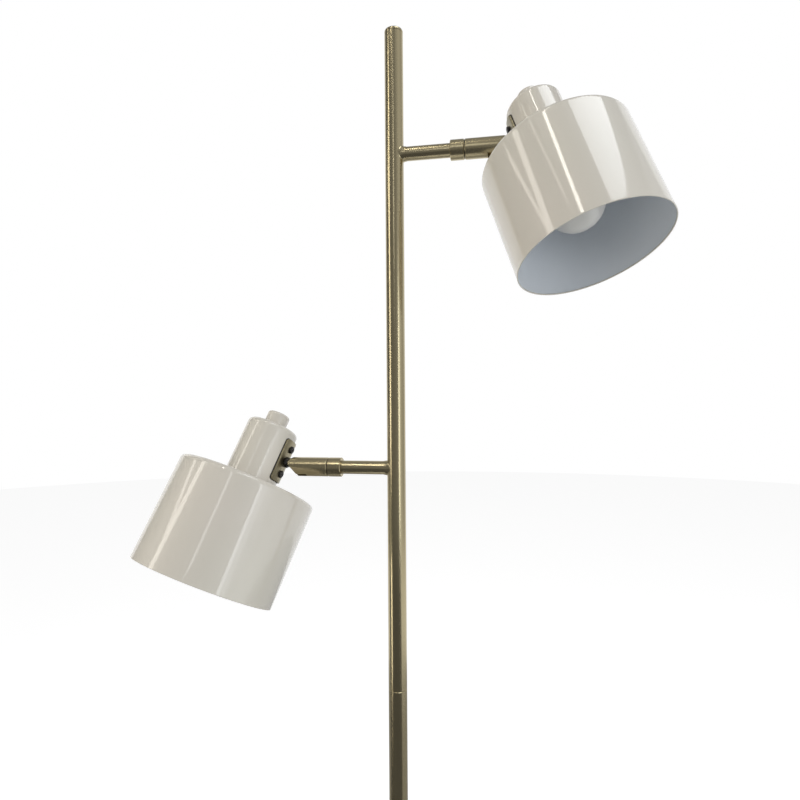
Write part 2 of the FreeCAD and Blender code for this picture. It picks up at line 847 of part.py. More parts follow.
def cross_screw(place):
    """A pan-head screw with a cross recess.  Its head sits below its own XY plane."""
    crown = -size.screw_head_thick
    screw = turned_body([
        (0, crown),
        (size.screw_head_radius, crown),
        (size.screw_head_radius, 0),
        (size.screw_radius, 0),
        (size.screw_radius, size.screw_length),
        (0, size.screw_length),
    ], rounds=[(size.screw_head_round, [(size.screw_head_radius, crown)])])
    screw.Placement = place
    recess = place * shifted(z=crown)
    long, narrow = size.screw_recess_length, size.screw_recess_width
    depth = size.screw_recess_depth * 2
    return minus(screw, block(long, narrow, depth, recess), block(narrow, long, depth, recess))


# ---------------------------------------------------------------------------------------------
# Head: turned pieces about the head's axis, with Z = 0 on the shade's top
# ---------------------------------------------------------------------------------------------

def make_head(side, head):
    bore = size.holder_hole_radius
    neck_top = size.neck_height
    neck_inner = size.neck_radius - size.sheet

    neck = new_body()
    revolve(neck, [
        (bore, 0),
        (size.neck_radius, 0),
        (size.neck_radius, neck_top),
        (size.bush_radius + size.slip_gap, neck_top),
        (size.bush_radius + size.slip_gap, neck_top - size.sheet),
        (neck_inner, neck_top - size.sheet),
        (neck_inner, size.sheet),
        (bore, size.sheet),
    ])
    soften(neck, "Fillet", [(size.neck_radius, neck_top)], size.neck_round)
    soften(neck, "Fillet", [(neck_inner, neck_top - size.sheet)], size.neck_round - size.sheet)
    # Holes in the side that faces the pole: the tongue's shank between two screws.
    side_holes = (
        (size.shade_drop, size.shank_radius + size.slip_gap),
        (size.shade_drop - size.screw_spacing / 2, size.screw_radius + size.slip_gap),
        (size.shade_drop + size.screw_spacing / 2, size.screw_radius + size.slip_gap),
    )
    for height, radius in side_holes:
        cut_circle(neck, "YZ_Plane", 0, height, radius, size.neck_radius,
                   offset=-size.neck_radius)
    keep(neck, f"{side}_neck", head)

    wall_inner = size.shade_radius - size.sheet
    hem_inner = size.shade_radius - size.hem_width
    mouth = -size.shade_length
    shade = new_body()
    revolve(shade, [
        (bore, -size.sheet),
        (wall_inner, -size.sheet),
        (wall_inner, mouth + size.hem_height + size.hem_slope),
        (hem_inner, mouth + size.hem_height),
        (hem_inner, mouth),
        (size.shade_radius, mouth),
        (size.shade_radius, 0),
        (bore, 0),
    ])
    soften(shade, "Fillet", [(size.shade_radius, 0)], size.shade_round)
    soften(shade, "Fillet", [(wall_inner, -size.sheet)], size.shade_round - size.sheet)
    soften(shade, "Fillet", [(size.shade_radius, mouth), (hem_inner, mouth)], size.hem_round)
    keep(shade, f"{side}_shade", head)

    # Lampholder: a moulded shell whose flange sits on the neck's floor; the ring below the
    # shade's top pulls the three together.
    flange_low = size.sheet + size.face_gap
    flange_high = flange_low + size.holder_flange_thick
    turned(f"{side}_lampholder", [
        (size.holder_bore_radius, -size.holder_bottom),
        (size.holder_radius, -size.holder_bottom),
        (size.holder_radius, flange_low),
        (size.holder_flange_radius, flange_low),
        (size.holder_flange_radius, flange_high),
        (size.holder_radius, flange_high),
        (size.holder_radius, size.holder_top),
        (size.holder_lead_radius, size.holder_top),
        (size.holder_lead_radius, size.holder_bore_top),
        (size.holder_bore_radius, size.holder_bore_top),
    ], head, rounds=[(size.holder_top_round, [(size.holder_radius, size.holder_top)]),
                     (size.holder_rim_round, [(size.holder_radius, -size.holder_bottom)])])
    ring_top = -size.sheet - size.face_gap
    ring_low = ring_top - size.shade_ring_thick
    turned(f"{side}_shade_ring",
           tube(size.holder_radius + size.hole_gap, size.shade_ring_radius, ring_low, ring_top),
           head, rounds=[(size.shade_ring_round, [(size.shade_ring_radius, ring_low)])])

    sleeve_low = shifted(z=-size.sleeve_bottom)
    sleeve_length = size.sleeve_bottom + size.sleeve_top
    sleeve = minus(
        rod(size.sleeve_radius, sleeve_length, sleeve_low),
        rod(size.sleeve_radius - size.sleeve_wall, sleeve_length * 2,
            sleeve_low * shifted(z=-sleeve_length / 2)))
    contact = rod(size.contact_radius, size.contact_thick,
                  shifted(z=size.cap_tip_top + size.face_gap))
    keep(together(sleeve, contact), f"{side}_socket_contacts", head)

    # Bulb: a round globe that draws in to a straight neck and the screw cap.
    def globe(inset):
        """Half outline from the crown up to the neck.  Arcs are marked with their radius."""
        radius = size.bulb_radius - inset
        shoulder = size.bulb_shoulder_radius - inset
        rise = math.sqrt(radius.value ** 2 - shoulder.value ** 2)
        rise = Size(rise, f"sqrt({radius.text} ^ 2 - {shoulder.text} ^ 2)")
        centre = -size.bulb_centre
        neck = size.bulb_neck_radius - inset
        return [
            (0, centre - radius),
            (radius, centre, -radius),
            (shoulder, centre + rise, -radius),
            (neck, -size.bulb_neck_end),
            (neck, -size.bulb_neck_start),
        ]

    def backwards(points):
        """The same outline walked the other way: each arc moves to its other end and turns."""
        walked = []
        for index in range(len(points) - 1, -1, -1):
            arc = points[index + 1][2:] if index + 1 < len(points) else ()
            walked.append((*points[index][:2], *(-radius for radius in arc)))
        return walked

    turned(f"{side}_bulb_glass", globe(Size.of(0)) + backwards(globe(size.bulb_glass_wall)), head)
    cap_bottom = size.face_gap - size.bulb_neck_start
    turned(f"{side}_bulb_cap", [
        (0, cap_bottom),
        (size.cap_shell_radius, cap_bottom),
        (size.cap_shell_radius, size.cap_shell_top),
        (size.cap_tip_radius, size.cap_tip_top - size.cap_tip_height),
        (size.cap_tip_radius, size.cap_tip_top),
        (0, size.cap_tip_top),
    ], head)

    # Rotary switch under the neck's top and its knob above.
    switch_top = neck_top - size.sheet - size.face_gap
    stem_bottom = switch_top - size.stem_length
    socket_bottom = stem_bottom - size.stem_end_gap
    turned(f"{side}_switch_body", [
        (0, switch_top - size.switch_height),
        (size.switch_radius, switch_top - size.switch_height),
        (size.switch_radius, switch_top),
        (size.bush_radius, switch_top),
        (size.bush_radius, neck_top + size.bush_height),
        (size.stem_radius + size.hole_gap, neck_top + size.bush_height),
        (size.stem_radius + size.hole_gap, socket_bottom),
        (0, socket_bottom),
    ], head)
    knob_low = neck_top + size.knob_lift
    knob_high = neck_top + size.knob_height
    turned(f"{side}_knob", [
        (0, stem_bottom),
        (size.stem_radius, stem_bottom),
        (size.stem_radius, knob_low + size.knob_recess),
        (size.knob_recess_radius, knob_low + size.knob_recess),
        (size.knob_recess_radius, knob_low),
        (size.knob_radius, knob_low),
        (size.knob_radius, knob_high),
        (0, knob_high),
    ], head, rounds=[(size.knob_round, [(size.knob_radius, knob_high)]),
                     (size.knob_rim_round, [(size.knob_radius, knob_low)])])


# ---------------------------------------------------------------------------------------------
# Assembly
# ---------------------------------------------------------------------------------------------

lower_arm_height = size.upper_arm_height - size.arm_spacing
make_base()
make_pole()

ARMS = (
    ("upper", size.upper_arm_height, 0, size.upper_swivel, size.upper_tilt, 1),
    ("lower", lower_arm_height, 180, size.lower_swivel, size.lower_tilt, -1),
)
for side, height, heading, swivel, tilt, screw_turn in ARMS:
    arm = shifted(z=height, rotation=Rotation(Vector(0, 0, 1), heading))
    knuckle = arm * Placement(Vector(), Rotation(Vector(1, 0, 0), swivel.value))
    pivot = knuckle * shifted(x=size.pivot_reach, rotation=Rotation(Vector(0, 1, 0), -tilt.value))
    head = pivot * shifted(x=size.neck_offset, z=-size.shade_drop)
    make_arm(side, arm)
    make_knuckle(side, knuckle, screw_turn)
    make_hinge(side, pivot)
    make_head(side, head)

# ---------------------------------------------------------------------------------------------
# Check and write
# ---------------------------------------------------------------------------------------------

doc.recompute()
for item in doc.Objects:
    if "Invalid" in item.State or "Error" in item.State:
        raise RuntimeError(f"{item.Name} ({item.Label}) failed: {item.State}")
for item in sub_parts:
    if item.Shape.isNull() or not item.Shape.isValid() or not item.Shape.Solids:
        raise RuntimeError(f"{item.Label} is not a valid solid")

os.makedirs("parts", exist_ok=True)
for item in sub_parts:
    item.Shape.exportStep(f"parts/{item.Label}.step")
print(f"{len(sub_parts)} sub-parts written")
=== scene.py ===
# %% [markdown]
# # Dressing a floor lamp with two spot heads
#
# The lamp is a slim brass pole on a weighted foot.  Two short arms stand out of it, one to each
# side, and each carries a pearl-lacquered spot head that swivels and tilts.  The packed model
# gives every size and place.  This file adds what that model can't hold: smooth turned skins,
# brushed brass, glossy lacquer, studio light and the camera.
#
# Each part is one step: a few sentences on what it is and how it is made, then short cells.

# %% Load the packed model
import json
import math
import bmesh
import bpy
from mathutils import Matrix, Vector

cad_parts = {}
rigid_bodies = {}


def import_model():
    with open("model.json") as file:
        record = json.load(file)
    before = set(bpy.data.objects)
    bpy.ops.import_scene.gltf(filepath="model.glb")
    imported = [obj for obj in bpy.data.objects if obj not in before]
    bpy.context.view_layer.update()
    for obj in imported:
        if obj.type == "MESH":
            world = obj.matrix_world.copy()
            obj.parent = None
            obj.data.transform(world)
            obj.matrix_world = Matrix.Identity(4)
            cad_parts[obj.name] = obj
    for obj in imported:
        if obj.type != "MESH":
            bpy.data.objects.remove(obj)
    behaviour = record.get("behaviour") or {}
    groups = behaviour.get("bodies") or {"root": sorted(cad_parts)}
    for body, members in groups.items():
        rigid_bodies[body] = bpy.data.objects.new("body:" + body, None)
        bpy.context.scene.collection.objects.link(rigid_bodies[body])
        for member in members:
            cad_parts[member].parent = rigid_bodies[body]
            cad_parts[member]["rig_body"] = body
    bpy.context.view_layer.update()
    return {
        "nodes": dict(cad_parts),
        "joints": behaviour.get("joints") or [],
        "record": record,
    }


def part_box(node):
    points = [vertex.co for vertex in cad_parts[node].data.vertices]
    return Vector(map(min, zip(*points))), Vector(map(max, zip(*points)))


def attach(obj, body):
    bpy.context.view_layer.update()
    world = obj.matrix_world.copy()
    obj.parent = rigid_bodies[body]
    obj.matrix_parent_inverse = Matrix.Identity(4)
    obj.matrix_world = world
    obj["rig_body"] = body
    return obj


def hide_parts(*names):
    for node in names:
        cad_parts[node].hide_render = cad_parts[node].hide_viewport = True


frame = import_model()
joints = {joint["name"]: joint for joint in frame["joints"]}


def added(name, data):
    """A new object of the scene, which holds some data."""
    item = bpy.data.objects.new(name, data)
    bpy.context.scene.collection.objects.link(item)
    return item


# %% [markdown]
# ## The camera
#
# The lamp was seen from close by, a little below its upper head, so the perspective is strong:
# the upper head shows its mouth and the lower one its back.  A camera could be aimed by eye.
# Here its spot and turn are written as real values, because the silhouettes of both heads, the
# pole and the arms only agree for one spot.

# %% Camera
CAMERA_SPOT = Vector((0.1153, -0.6050, 1.1404))
CAMERA_HEADING = math.radians(10.41)
CAMERA_PITCH = math.radians(0.02)
CAMERA_ROLL = math.radians(0.38)
LENS_MM, SENSOR_MM = 27.016, 36.0
NEAREST_SEEN = 0.05

camera_data = bpy.data.cameras.new("camera")
camera_data.lens = LENS_MM
camera_data.sensor_width = SENSOR_MM
camera_data.clip_start = NEAREST_SEEN
camera = added("camera", camera_data)
aim = Matrix.Rotation(CAMERA_HEADING, 4, "Z") @ Matrix.Rotation(CAMERA_PITCH, 4, "X")
level = Matrix.Rotation(CAMERA_ROLL, 4, "Y") @ Matrix.Rotation(math.radians(90), 4, "X")
camera.matrix_world = Matrix.Translation(CAMERA_SPOT) @ aim @ level
bpy.context.scene.camera = camera
bpy.context.scene.view_settings.view_transform = "Standard"
print("camera at", tuple(round(value, 3) for value in CAMERA_SPOT))

# %% [markdown]
# ## Writing nodes as expressions
#
# Finishes and turned shapes are both node trees.  Nodes could be added one by one and linked by
# hand, which is long and hard to read.  A small class wraps a socket instead, so that
# `1 - mask * 0.5` adds its Math nodes by itself, and one method makes any other node.

# %% Sockets that Python arithmetic works on
class Wire:
    """An output socket.  Each operator adds one Math node."""

    def __init__(self, bench, socket):
        self.bench = bench
        self.socket = socket

    def maths(self, operation, first, second=None):
        values = {0: first} if second is None else {0: first, 1: second}
        return self.bench.node("ShaderNodeMath", {"operation": operation}, values)

    def vector(self, operation, second):
        """Vector Math with another wire or a plain triple."""
        return self.bench.node("ShaderNodeVectorMath", {"operation": operation},
                               {0: self, 1: second})

    def part(self, output):
        """Another output of the same node."""
        return Wire(self.bench, self.socket.node.outputs[output])

    def __add__(self, other):
        return self.maths("ADD", self, other)

    def __radd__(self, other):
        return self.maths("ADD", other, self)

    def __sub__(self, other):
        return self.maths("SUBTRACT", self, other)

    def __rsub__(self, other):
        return self.maths("SUBTRACT", other, self)

    def __mul__(self, other):
        return self.maths("MULTIPLY", self, other)

    def __truediv__(self, other):
        return self.maths("DIVIDE", self, other)

    def __mod__(self, other):
        return self.maths("MODULO", self, other)


class Bench:
    """Adds nodes to one tree."""

    def __init__(self, tree):
        self.tree = tree

    def node(self, kind, settings=None, sockets=None, output=0):
        """Any node: its settings are set first, then each socket's value or link."""
        made = self.tree.nodes.new(kind)
        for name, value in (settings or {}).items():
            setattr(made, name, value)
        for key, value in (sockets or {}).items():
            if isinstance(value, Wire):
                self.tree.links.new(value.socket, made.inputs[key])
            else:
                made.inputs[key].default_value = value
        return Wire(self, made.outputs[output]) if made.outputs else None


print("operators:", ", ".join(name for name in vars(Wire) if name.startswith("__r")))

# %% [markdown]
# ## A bench of noise
#
# Every real finish varies a little: brushing leaves lines along a tube, sprayed lacquer has an
# orange-peel skin, felt is hairy.  All of it is noise at the right scale, read in metres from
# the object's own coordinates.  A Mapping node turns the grain onto pieces that lie at an angle.

# %% Coordinates, noise and a ready-made surface
def place_on(bench, turn=None):
    """Object coordinates in metres, turned so that a piece's own axis is Z."""
    here = bench.node("ShaderNodeTexCoord", output="Object")
    if turn is None:
        return here
    return bench.node("ShaderNodeMapping", {"vector_type": "TEXTURE"},
                      {"Vector": here, "Rotation": turn})


def noise(place, per_metre, detail=2.0, roughness=0.5):
    """A 0..1 noise with so many blotches per metre along each of its three directions."""
    bench = place.bench
    return bench.node("ShaderNodeTexNoise", {"noise_dimensions": "3D"}, {
        "Vector": place.vector("MULTIPLY", per_metre), "Scale": 1.0, "Detail": detail,
        "Roughness": roughness})


def blend(bench, amount, first, second):
    """A mix of two colours."""
    return bench.node("ShaderNodeMix", {"data_type": "RGBA"}, {0: amount, 6: first, 7: second},
                      output=2)


def centred(wire, amount):
    """Noise turned into a small swing about zero."""
    return (wire - 0.5) * amount


def relief(bench, height, millimetres):
    """A bump from a 0..1 height."""
    return bench.node("ShaderNodeBump", sockets={
        "Height": height, "Distance": millimetres / 1000, "Strength": 1.0}, output="Normal")


def emptied(block):
    """The bench of a material or world whose tree starts with no node."""
    block.use_nodes = True
    block.node_tree.nodes.clear()
    return Bench(block.node_tree)


def surface(name, build, **fixed):
    """A material.  build returns what varies; fixed values go straight onto the shader."""
    made = bpy.data.materials.new(name)
    bench = emptied(made)
    sockets = {key.replace("_", " "): value for key, value in fixed.items()}
    sockets.update(build(bench))
    shader = bench.node("ShaderNodeBsdfPrincipled", sockets=sockets)
    bench.node("ShaderNodeOutputMaterial", sockets={"Surface": shader})
    return made


print("a surface takes what varies and what is fixed")

# %% [markdown]
# ## Antique brass
#
# The pole, arms, joints and foot are brass-plated tube, brushed along their length and toned
# down to an olive gold.  The hinge plates are the same brass in darker tones, which is painted
# shade.  It is a metal, so its colour is its reflection: the dark and bright bands come from the
# room.  The brushing is noise stretched along the piece, which moves the roughness, the tone and
# a very shallow bump.

# %% Brass, brushed along a direction
BRASS_DEEP = (0.37, 0.315, 0.19, 1.0)
BRASS_PALE = (0.55, 0.48, 0.31, 1.0)
# Painted shade: darker tones of the same brass, for the hinge plates.
SHADED_PLATE_DEEP = (0.24, 0.21, 0.135, 1.0)
SHADED_PLATE_PALE = (0.36, 0.32, 0.215, 1.0)
POLE_ROUGH, ARM_ROUGH, PLATE_ROUGH, FOOT_ROUGH = 0.22, 0.24, 0.33, 0.29
LINES_PER_METRE, CLOUDS_PER_METRE = (1300, 1300, 8), (40, 40, 7)
RINGS_PER_METRE = (1400, 1, 1400)
LINE_RELIEF, RING_RELIEF = 0.0005, 0.01
ALONG_POLE = (0.0, 0.0, 0.0)
ALONG_ARM = (0.0, math.radians(90), 0.0)


def brushed_brass(name, turn, rough, deep=BRASS_DEEP, pale=BRASS_PALE):
    """Brass brushed along the direction that turn makes the noise's own Z."""
    def build(bench):
        place = place_on(bench, turn)
        lines = noise(place, LINES_PER_METRE, detail=3.0, roughness=0.65)
        clouds = noise(place, CLOUDS_PER_METRE, detail=1.0)
        tone = lines * 0.55 + clouds * 0.45
        return {
            "Base Color": blend(bench, tone, deep, pale),
            "Roughness": rough + centred(lines, 0.07) + centred(clouds, 0.03),
            "Normal": relief(bench, lines, LINE_RELIEF),
        }
    return surface(name, build, Metallic=1.0)


def spun_brass(name):
    """The foot's cover is brushed in rings, as it turned under the pad."""
    def build(bench):
        place = place_on(bench)
        split = bench.node("ShaderNodeSeparateXYZ", sockets={0: place}, output="X")
        across = split * split + split.part("Y") * split.part("Y")
        radius = across.maths("SQRT", across)
        ring = bench.node("ShaderNodeCombineXYZ", sockets={"X": radius, "Z": split.part("Z")})
        lines = noise(ring, RINGS_PER_METRE, detail=3.0, roughness=0.6)
        clouds = noise(place, (30, 30, 30))
        tone = lines * 0.5 + clouds * 0.5
        return {
            "Base Color": blend(bench, tone, BRASS_DEEP, BRASS_PALE),
            "Roughness": FOOT_ROUGH + centred(lines, 0.14),
            "Normal": relief(bench, lines, RING_RELIEF),
        }
    return surface(name, build, Metallic=1.0)


brass_pole = brushed_brass("brass_pole", ALONG_POLE, POLE_ROUGH)
brass_arm = brushed_brass("brass_arm", ALONG_ARM, ARM_ROUGH)
# The hinge plates' brass is painted darker, as shade.
brass_plate = brushed_brass("brass_plate", ALONG_POLE, PLATE_ROUGH, SHADED_PLATE_DEEP, SHADED_PLATE_PALE)
brass_foot = spun_brass("brass_foot")
print("brass:", brass_pole.name, brass_arm.name, brass_plate.name, brass_foot.name)

# %% [markdown]
# ## Pearl lacquer and its white lining
#
# The shades, necks and knobs are sheet steel sprayed in a warm greige with a little pearl, under
# a clear gloss that mirrors lamps as long streaks.  Pearl could be a metal flake layer; here it
# is a slow drift between three tints and a faint speckle, because the flakes are finer than the
# eye.  A shallow orange peel makes the streaks' edges wander.  The inside is a satin white.

# %% Lacquer and lining
GREIGE = (0.63, 0.592, 0.52, 1.0)
ROSE = (0.655, 0.60, 0.54, 1.0)
SAGE = (0.60, 0.59, 0.50, 1.0)
LINING_WHITE = (0.74, 0.775, 0.81, 1.0)
LINING_SHADE = (0.70, 0.735, 0.775, 1.0)


def pearl_lacquer(name):
    def build(bench):
        place = place_on(bench)
        drift = noise(place, (9, 9, 9), detail=1.0)
        cross_drift = noise(place, (13, 11, 12), detail=1.0)
        speckle = noise(place, (2600, 2600, 2600), detail=0.0)
        peel = noise(place, (210, 210, 210), detail=1.0)
        warm = blend(bench, drift, GREIGE, ROSE)
        tinted = blend(bench, cross_drift * 0.6, warm, SAGE)
        light = bench.node("ShaderNodeHueSaturation", sockets={
            "Value": 1.0 + centred(speckle, 0.05), "Color": tinted})
        return {
            "Base Color": light,
            "Roughness": 0.42 + centred(speckle, 0.12),
            "Normal": relief(bench, peel, 0.010),
        }
    return surface(name, build, Coat_Weight=1.0, Coat_Roughness=0.06, Coat_IOR=1.5,
                   Specular_IOR_Level=0.5)


def white_lining(name):
    def build(bench):
        place = place_on(bench)
        clouds = noise(place, (26, 26, 26))
        grit = noise(place, (1100, 1100, 1100), detail=1.0)
        return {
            "Base Color": blend(bench, clouds, LINING_SHADE, LINING_WHITE),
            "Roughness": 0.5 + centred(grit, 0.14),
            "Normal": relief(bench, grit, 0.012),
        }
    return surface(name, build, Specular_IOR_Level=0.4)


lacquer = pearl_lacquer("pearl_lacquer")
lining = white_lining("white_lining")
print("lacquer:", lacquer.name, "lining:", lining.name)

# %% [markdown]
# ## Glass, plastic, steel and felt
#
# The smaller finishes differ in what their surface does.  Frosted glass has an etched, milky
# skin.  Moulded plastic has a fine spark-eroded grain.  Blackened screws are a dark metal that
# drifts to grey, zinc shows faint crystals, cast iron is rough and felt is a mat of hairs.

# %% Small finishes
def frosted_glass(name):
    def build(bench):
        place = place_on(bench)
        clouds = noise(place, (60, 60, 60))
        etching = noise(place, (3000, 3000, 3000), detail=1.0)
        return {
            "Base Color": blend(bench, clouds, (0.55, 0.54, 0.50, 1.0), (0.64, 0.63, 0.60, 1.0)),
            "Roughness": 0.33 + centred(etching, 0.1),
            "Normal": relief(bench, etching, 0.003),
        }
    return surface(name, build, Coat_Weight=0.5, Coat_Roughness=0.12, Subsurface_Weight=0.15,
                   Subsurface_Radius=(0.004, 0.004, 0.004))


def grained(name, dark, light, rough, metal=0.0, per_metre=1800, bump=0.02, **fixed):
    """A plain stuff with fine grain: its two tones, mean roughness and relief in millimetres."""
    def build(bench):
        place = place_on(bench)
        grain = noise(place, (per_metre,) * 3, detail=2.0)
        clouds = noise(place, (per_metre / 18,) * 3)
        return {
            "Base Color": blend(bench, grain * 0.6 + clouds * 0.4, dark, light),
            "Roughness": rough + centred(grain, 0.12) + centred(clouds, 0.08),
            "Normal": relief(bench, grain, bump),
        }
    return surface(name, build, Metallic=metal, **fixed)


bulb_glass = frosted_glass("frosted_glass")
black_plastic = grained("black_plastic", (0.014,) * 3 + (1,), (0.03,) * 3 + (1,), 0.45)
blackened = grained("blackened_steel", (0.012, 0.011, 0.012, 1), (0.05, 0.047, 0.045, 1), 0.33,
                    metal=0.6, per_metre=900, bump=0.008)
# Near-black for the gasket slot: a thin black sheet under each hinge plate, which shows as a dark
# rim round the plate.
plate_rim_black = grained("black_rubber", (0.01,) * 3 + (1,), (0.022,) * 3 + (1,), 0.7)
zinc = grained("zinc_plate", (0.42, 0.43, 0.45, 1), (0.58, 0.59, 0.6, 1), 0.34, metal=1.0,
               per_metre=600, bump=0.006)
plain_brass = grained("contact_brass", (0.55, 0.43, 0.2, 1), (0.68, 0.56, 0.3, 1), 0.3,
                      metal=1.0, per_metre=700, bump=0.005)
cast_iron = grained("cast_iron", (0.03,) * 3 + (1,), (0.08,) * 3 + (1,), 0.75, per_metre=500,
                    bump=0.2)
felt = grained("felt", (0.012, 0.012, 0.014, 1), (0.045, 0.045, 0.05, 1), 0.92, per_metre=1500,
               bump=0.25, Sheen_Weight=0.4, Sheen_Roughness=0.6)
small_finishes = (bulb_glass, black_plastic, blackened, plate_rim_black, zinc, plain_brass, cast_iron, felt)
print("small finishes:", len(small_finishes))

# %% [markdown]
# ## Every packed node gets its finish
#
# The record names a material slot for each node, so one table of slots dresses the whole
# lamp.  Nodes that get a smoother skin further down are dressed here as well, and then hidden.

# %% Dress the nodes by their slots
FINISH_OF_SLOT = {
    "antique_brass": brass_arm,
    "lacquered_sheet": lacquer,
    "knob_plastic": lacquer,
    "frosted_glass": bulb_glass,
    "black_plastic": black_plastic,
    "black_metal": blackened,
    "black_gasket": plate_rim_black,
    "plated_steel": zinc,
    "contact_brass": plain_brass,
    "iron": cast_iron,
    "felt": felt,
}
slot_of = {row["node"]: row["material_slot"] for row in frame["record"]["subparts"]}


def dress(item, finish):
    item.data.materials.clear()
    item.data.materials.append(finish)


for name, item in frame["nodes"].items():
    dress(item, FINISH_OF_SLOT[slot_of[name]])
print("dressed", len(slot_of), "nodes")

# %% [markdown]
# ## Turned pieces
#
# Nearly everything on this lamp is round: tube, collars, shade, neck, knob, bulb and foot.  A
# packed node is a mesh of flat triangles, which a glossy coat would show as facets.  So each
# round piece is turned again: its half outline is carried round the axis in many steps by one
# Geometry Nodes tree, which also keeps true corners crisp and the rest smooth.  Spinning with an
# operator would do as well, but the tree's inputs name what matters.

# %% Half outlines with rounded corners
ARC_STEPS = 6
SUPPORT = 0.0006


def half_outline(corners):
    """A closed outline's points.  A corner is (radius, height) or (radius, height, rounding)."""
    points = []
    for index, corner in enumerate(corners):
        here = Vector(corner[:2])
        before = Vector(corners[index - 1][:2])
        after = Vector(corners[(index + 1) % len(corners)][:2])
        rounding = corner[2] if len(corner) > 2 else 0.0
        if rounding == 0.0:
            points.append(here)
            continue
        into, out = (here - before).normalized(), (after - here).normalized()
        turn = into.angle(out)
        reach = rounding * math.tan(turn / 2)
        centre_way = (out - into).normalized()
        centre = here + centre_way * rounding / math.cos(turn / 2)
        start = here - into * reach
        points.append(start - into * min(SUPPORT, (start - before).length / 3))
        side = 1 if into.x * out.y - into.y * out.x > 0 else -1
        for step in range(ARC_STEPS + 1):
            spoke = start - centre
            angle = side * turn * step / ARC_STEPS
            points.append(centre + Vector((
                spoke.x * math.cos(angle) - spoke.y * math.sin(angle),
                spoke.x * math.sin(angle) + spoke.y * math.cos(angle))))
        end = here + out * reach
        points.append(end + out * min(SUPPORT, (after - end).length / 3))
    points.append(points[0].copy())
    return points


print("a corner's arc has", ARC_STEPS, "steps")

# %% The tree that turns an outline
MERGE = 0.000002


def tree_with(name, inputs):
    """An empty Geometry Nodes tree with named inputs, its bench and its input wires."""
    tree = bpy.data.node_groups.new(name, "GeometryNodeTree")
    for label, kind in inputs:
        tree.interface.new_socket(label, in_out="INPUT", socket_type=kind)
    tree.interface.new_socket("Geometry", in_out="OUTPUT", socket_type="NodeSocketGeometry")
    bench = Bench(tree)
    entry = tree.nodes.new("NodeGroupInput")
    wires = {label: Wire(bench, entry.outputs[label]) for label, _ in inputs}
    return tree, bench, wires


def finish_tree(bench, geometry, finish):
    """Realize Instances and Set Material, then the output."""
    real = bench.node("GeometryNodeRealizeInstances", sockets={0: geometry})
    coated = bench.node("GeometryNodeSetMaterial", sockets={"Geometry": real, "Material": finish})
    bench.node("NodeGroupOutput", sockets={0: coated})


def turning_tree():
    tree, bench, given = tree_with("turned_piece", [
        ("Outline", "NodeSocketObject"), ("Points", "NodeSocketInt"), ("Steps", "NodeSocketInt"),
        ("Crisp Angle", "NodeSocketFloat"), ("Finish", "NodeSocketMaterial")])
    outline = bench.node("GeometryNodeObjectInfo", sockets={"Object": given["Outline"]},
                         output="Geometry")
    sheet = bench.node("GeometryNodeMeshGrid", sockets={
        "Vertices X": given["Steps"] + 1, "Vertices Y": given["Points"]}, output="Mesh")
    index = bench.node("GeometryNodeInputIndex")
    share = index / given["Points"]
    step = share.maths("FLOOR", share)
    position = bench.node("GeometryNodeInputPosition")
    corner = bench.node("GeometryNodeSampleIndex", {"data_type": "FLOAT_VECTOR"}, {
        "Geometry": outline, "Value": position, "Index": index % given["Points"]})
    radius = bench.node("ShaderNodeSeparateXYZ", sockets={0: corner}, output="X")
    angle = step / given["Steps"] * (2 * math.pi)
    turned = bench.node("ShaderNodeCombineXYZ", sockets={
        "X": radius * angle.maths("COSINE", angle), "Y": radius * angle.maths("SINE", angle),
        "Z": radius.part("Z")})
    shaped = bench.node("GeometryNodeSetPosition", sockets={"Geometry": sheet, "Position": turned})
    joined = bench.node("GeometryNodeMergeByDistance", sockets={
        "Geometry": shaped, "Distance": MERGE})
    smooth = bench.node("GeometryNodeSetShadeSmooth", {"domain": "FACE"}, {
        "Geometry": joined, "Shade Smooth": True})
    bend = bench.node("GeometryNodeInputMeshEdgeAngle", output="Unsigned Angle")
    crisp = bench.node("GeometryNodeSetShadeSmooth", {"domain": "EDGE"}, {
        "Geometry": smooth, "Shade Smooth": False,
        "Selection": bend.maths("GREATER_THAN", bend, given["Crisp Angle"])})
    finish_tree(bench, crisp, given["Finish"])
    return tree


turn_round = turning_tree()
print("tree", turn_round.name, "has", len(turn_round.nodes), "nodes")

# %% From an outline to a finished skin
STEPS, FINE_STEPS, FEW_STEPS = 144, 192, 96
CRISP = math.radians(25)


def input_names(tree):
    """Each input's name and the identifier that a modifier knows it by."""
    return {item.name: item.identifier for item in tree.interface.items_tree
            if item.in_out == "INPUT"}


def grown(tree, name, values):
    """The plain mesh that a tree makes from its inputs."""
    holder = added(name, bpy.data.meshes.new(name))
    modifier = holder.modifiers.new("tree", "NODES")
    modifier.node_group = tree
    for label, identifier in input_names(tree).items():
        modifier[identifier] = values[label]
    ready = bpy.context.evaluated_depsgraph_get()
    mesh = bpy.data.meshes.new_from_object(holder.evaluated_get(ready), depsgraph=ready)
    if mesh.materials[0] is None:
        mesh.materials.pop(index=0)
    holder.modifiers.remove(modifier)
    holder.data = mesh
    return holder


def line_of(points):
    """A mesh that holds an outline's points in the XZ plane, for a tree to read."""
    mesh = bpy.data.meshes.new("outline")
    mesh.from_pydata([(point.x, 0.0, point.y) for point in points], [], [])
    return added("outline", mesh)


def anticlockwise(points):
    """The outline's points in the order that makes its faces look outwards."""
    area = sum(a.x * b.y - b.x * a.y for a, b in zip(points, points[1:] + points[:1]))
    return points if area > 0 else points[::-1]


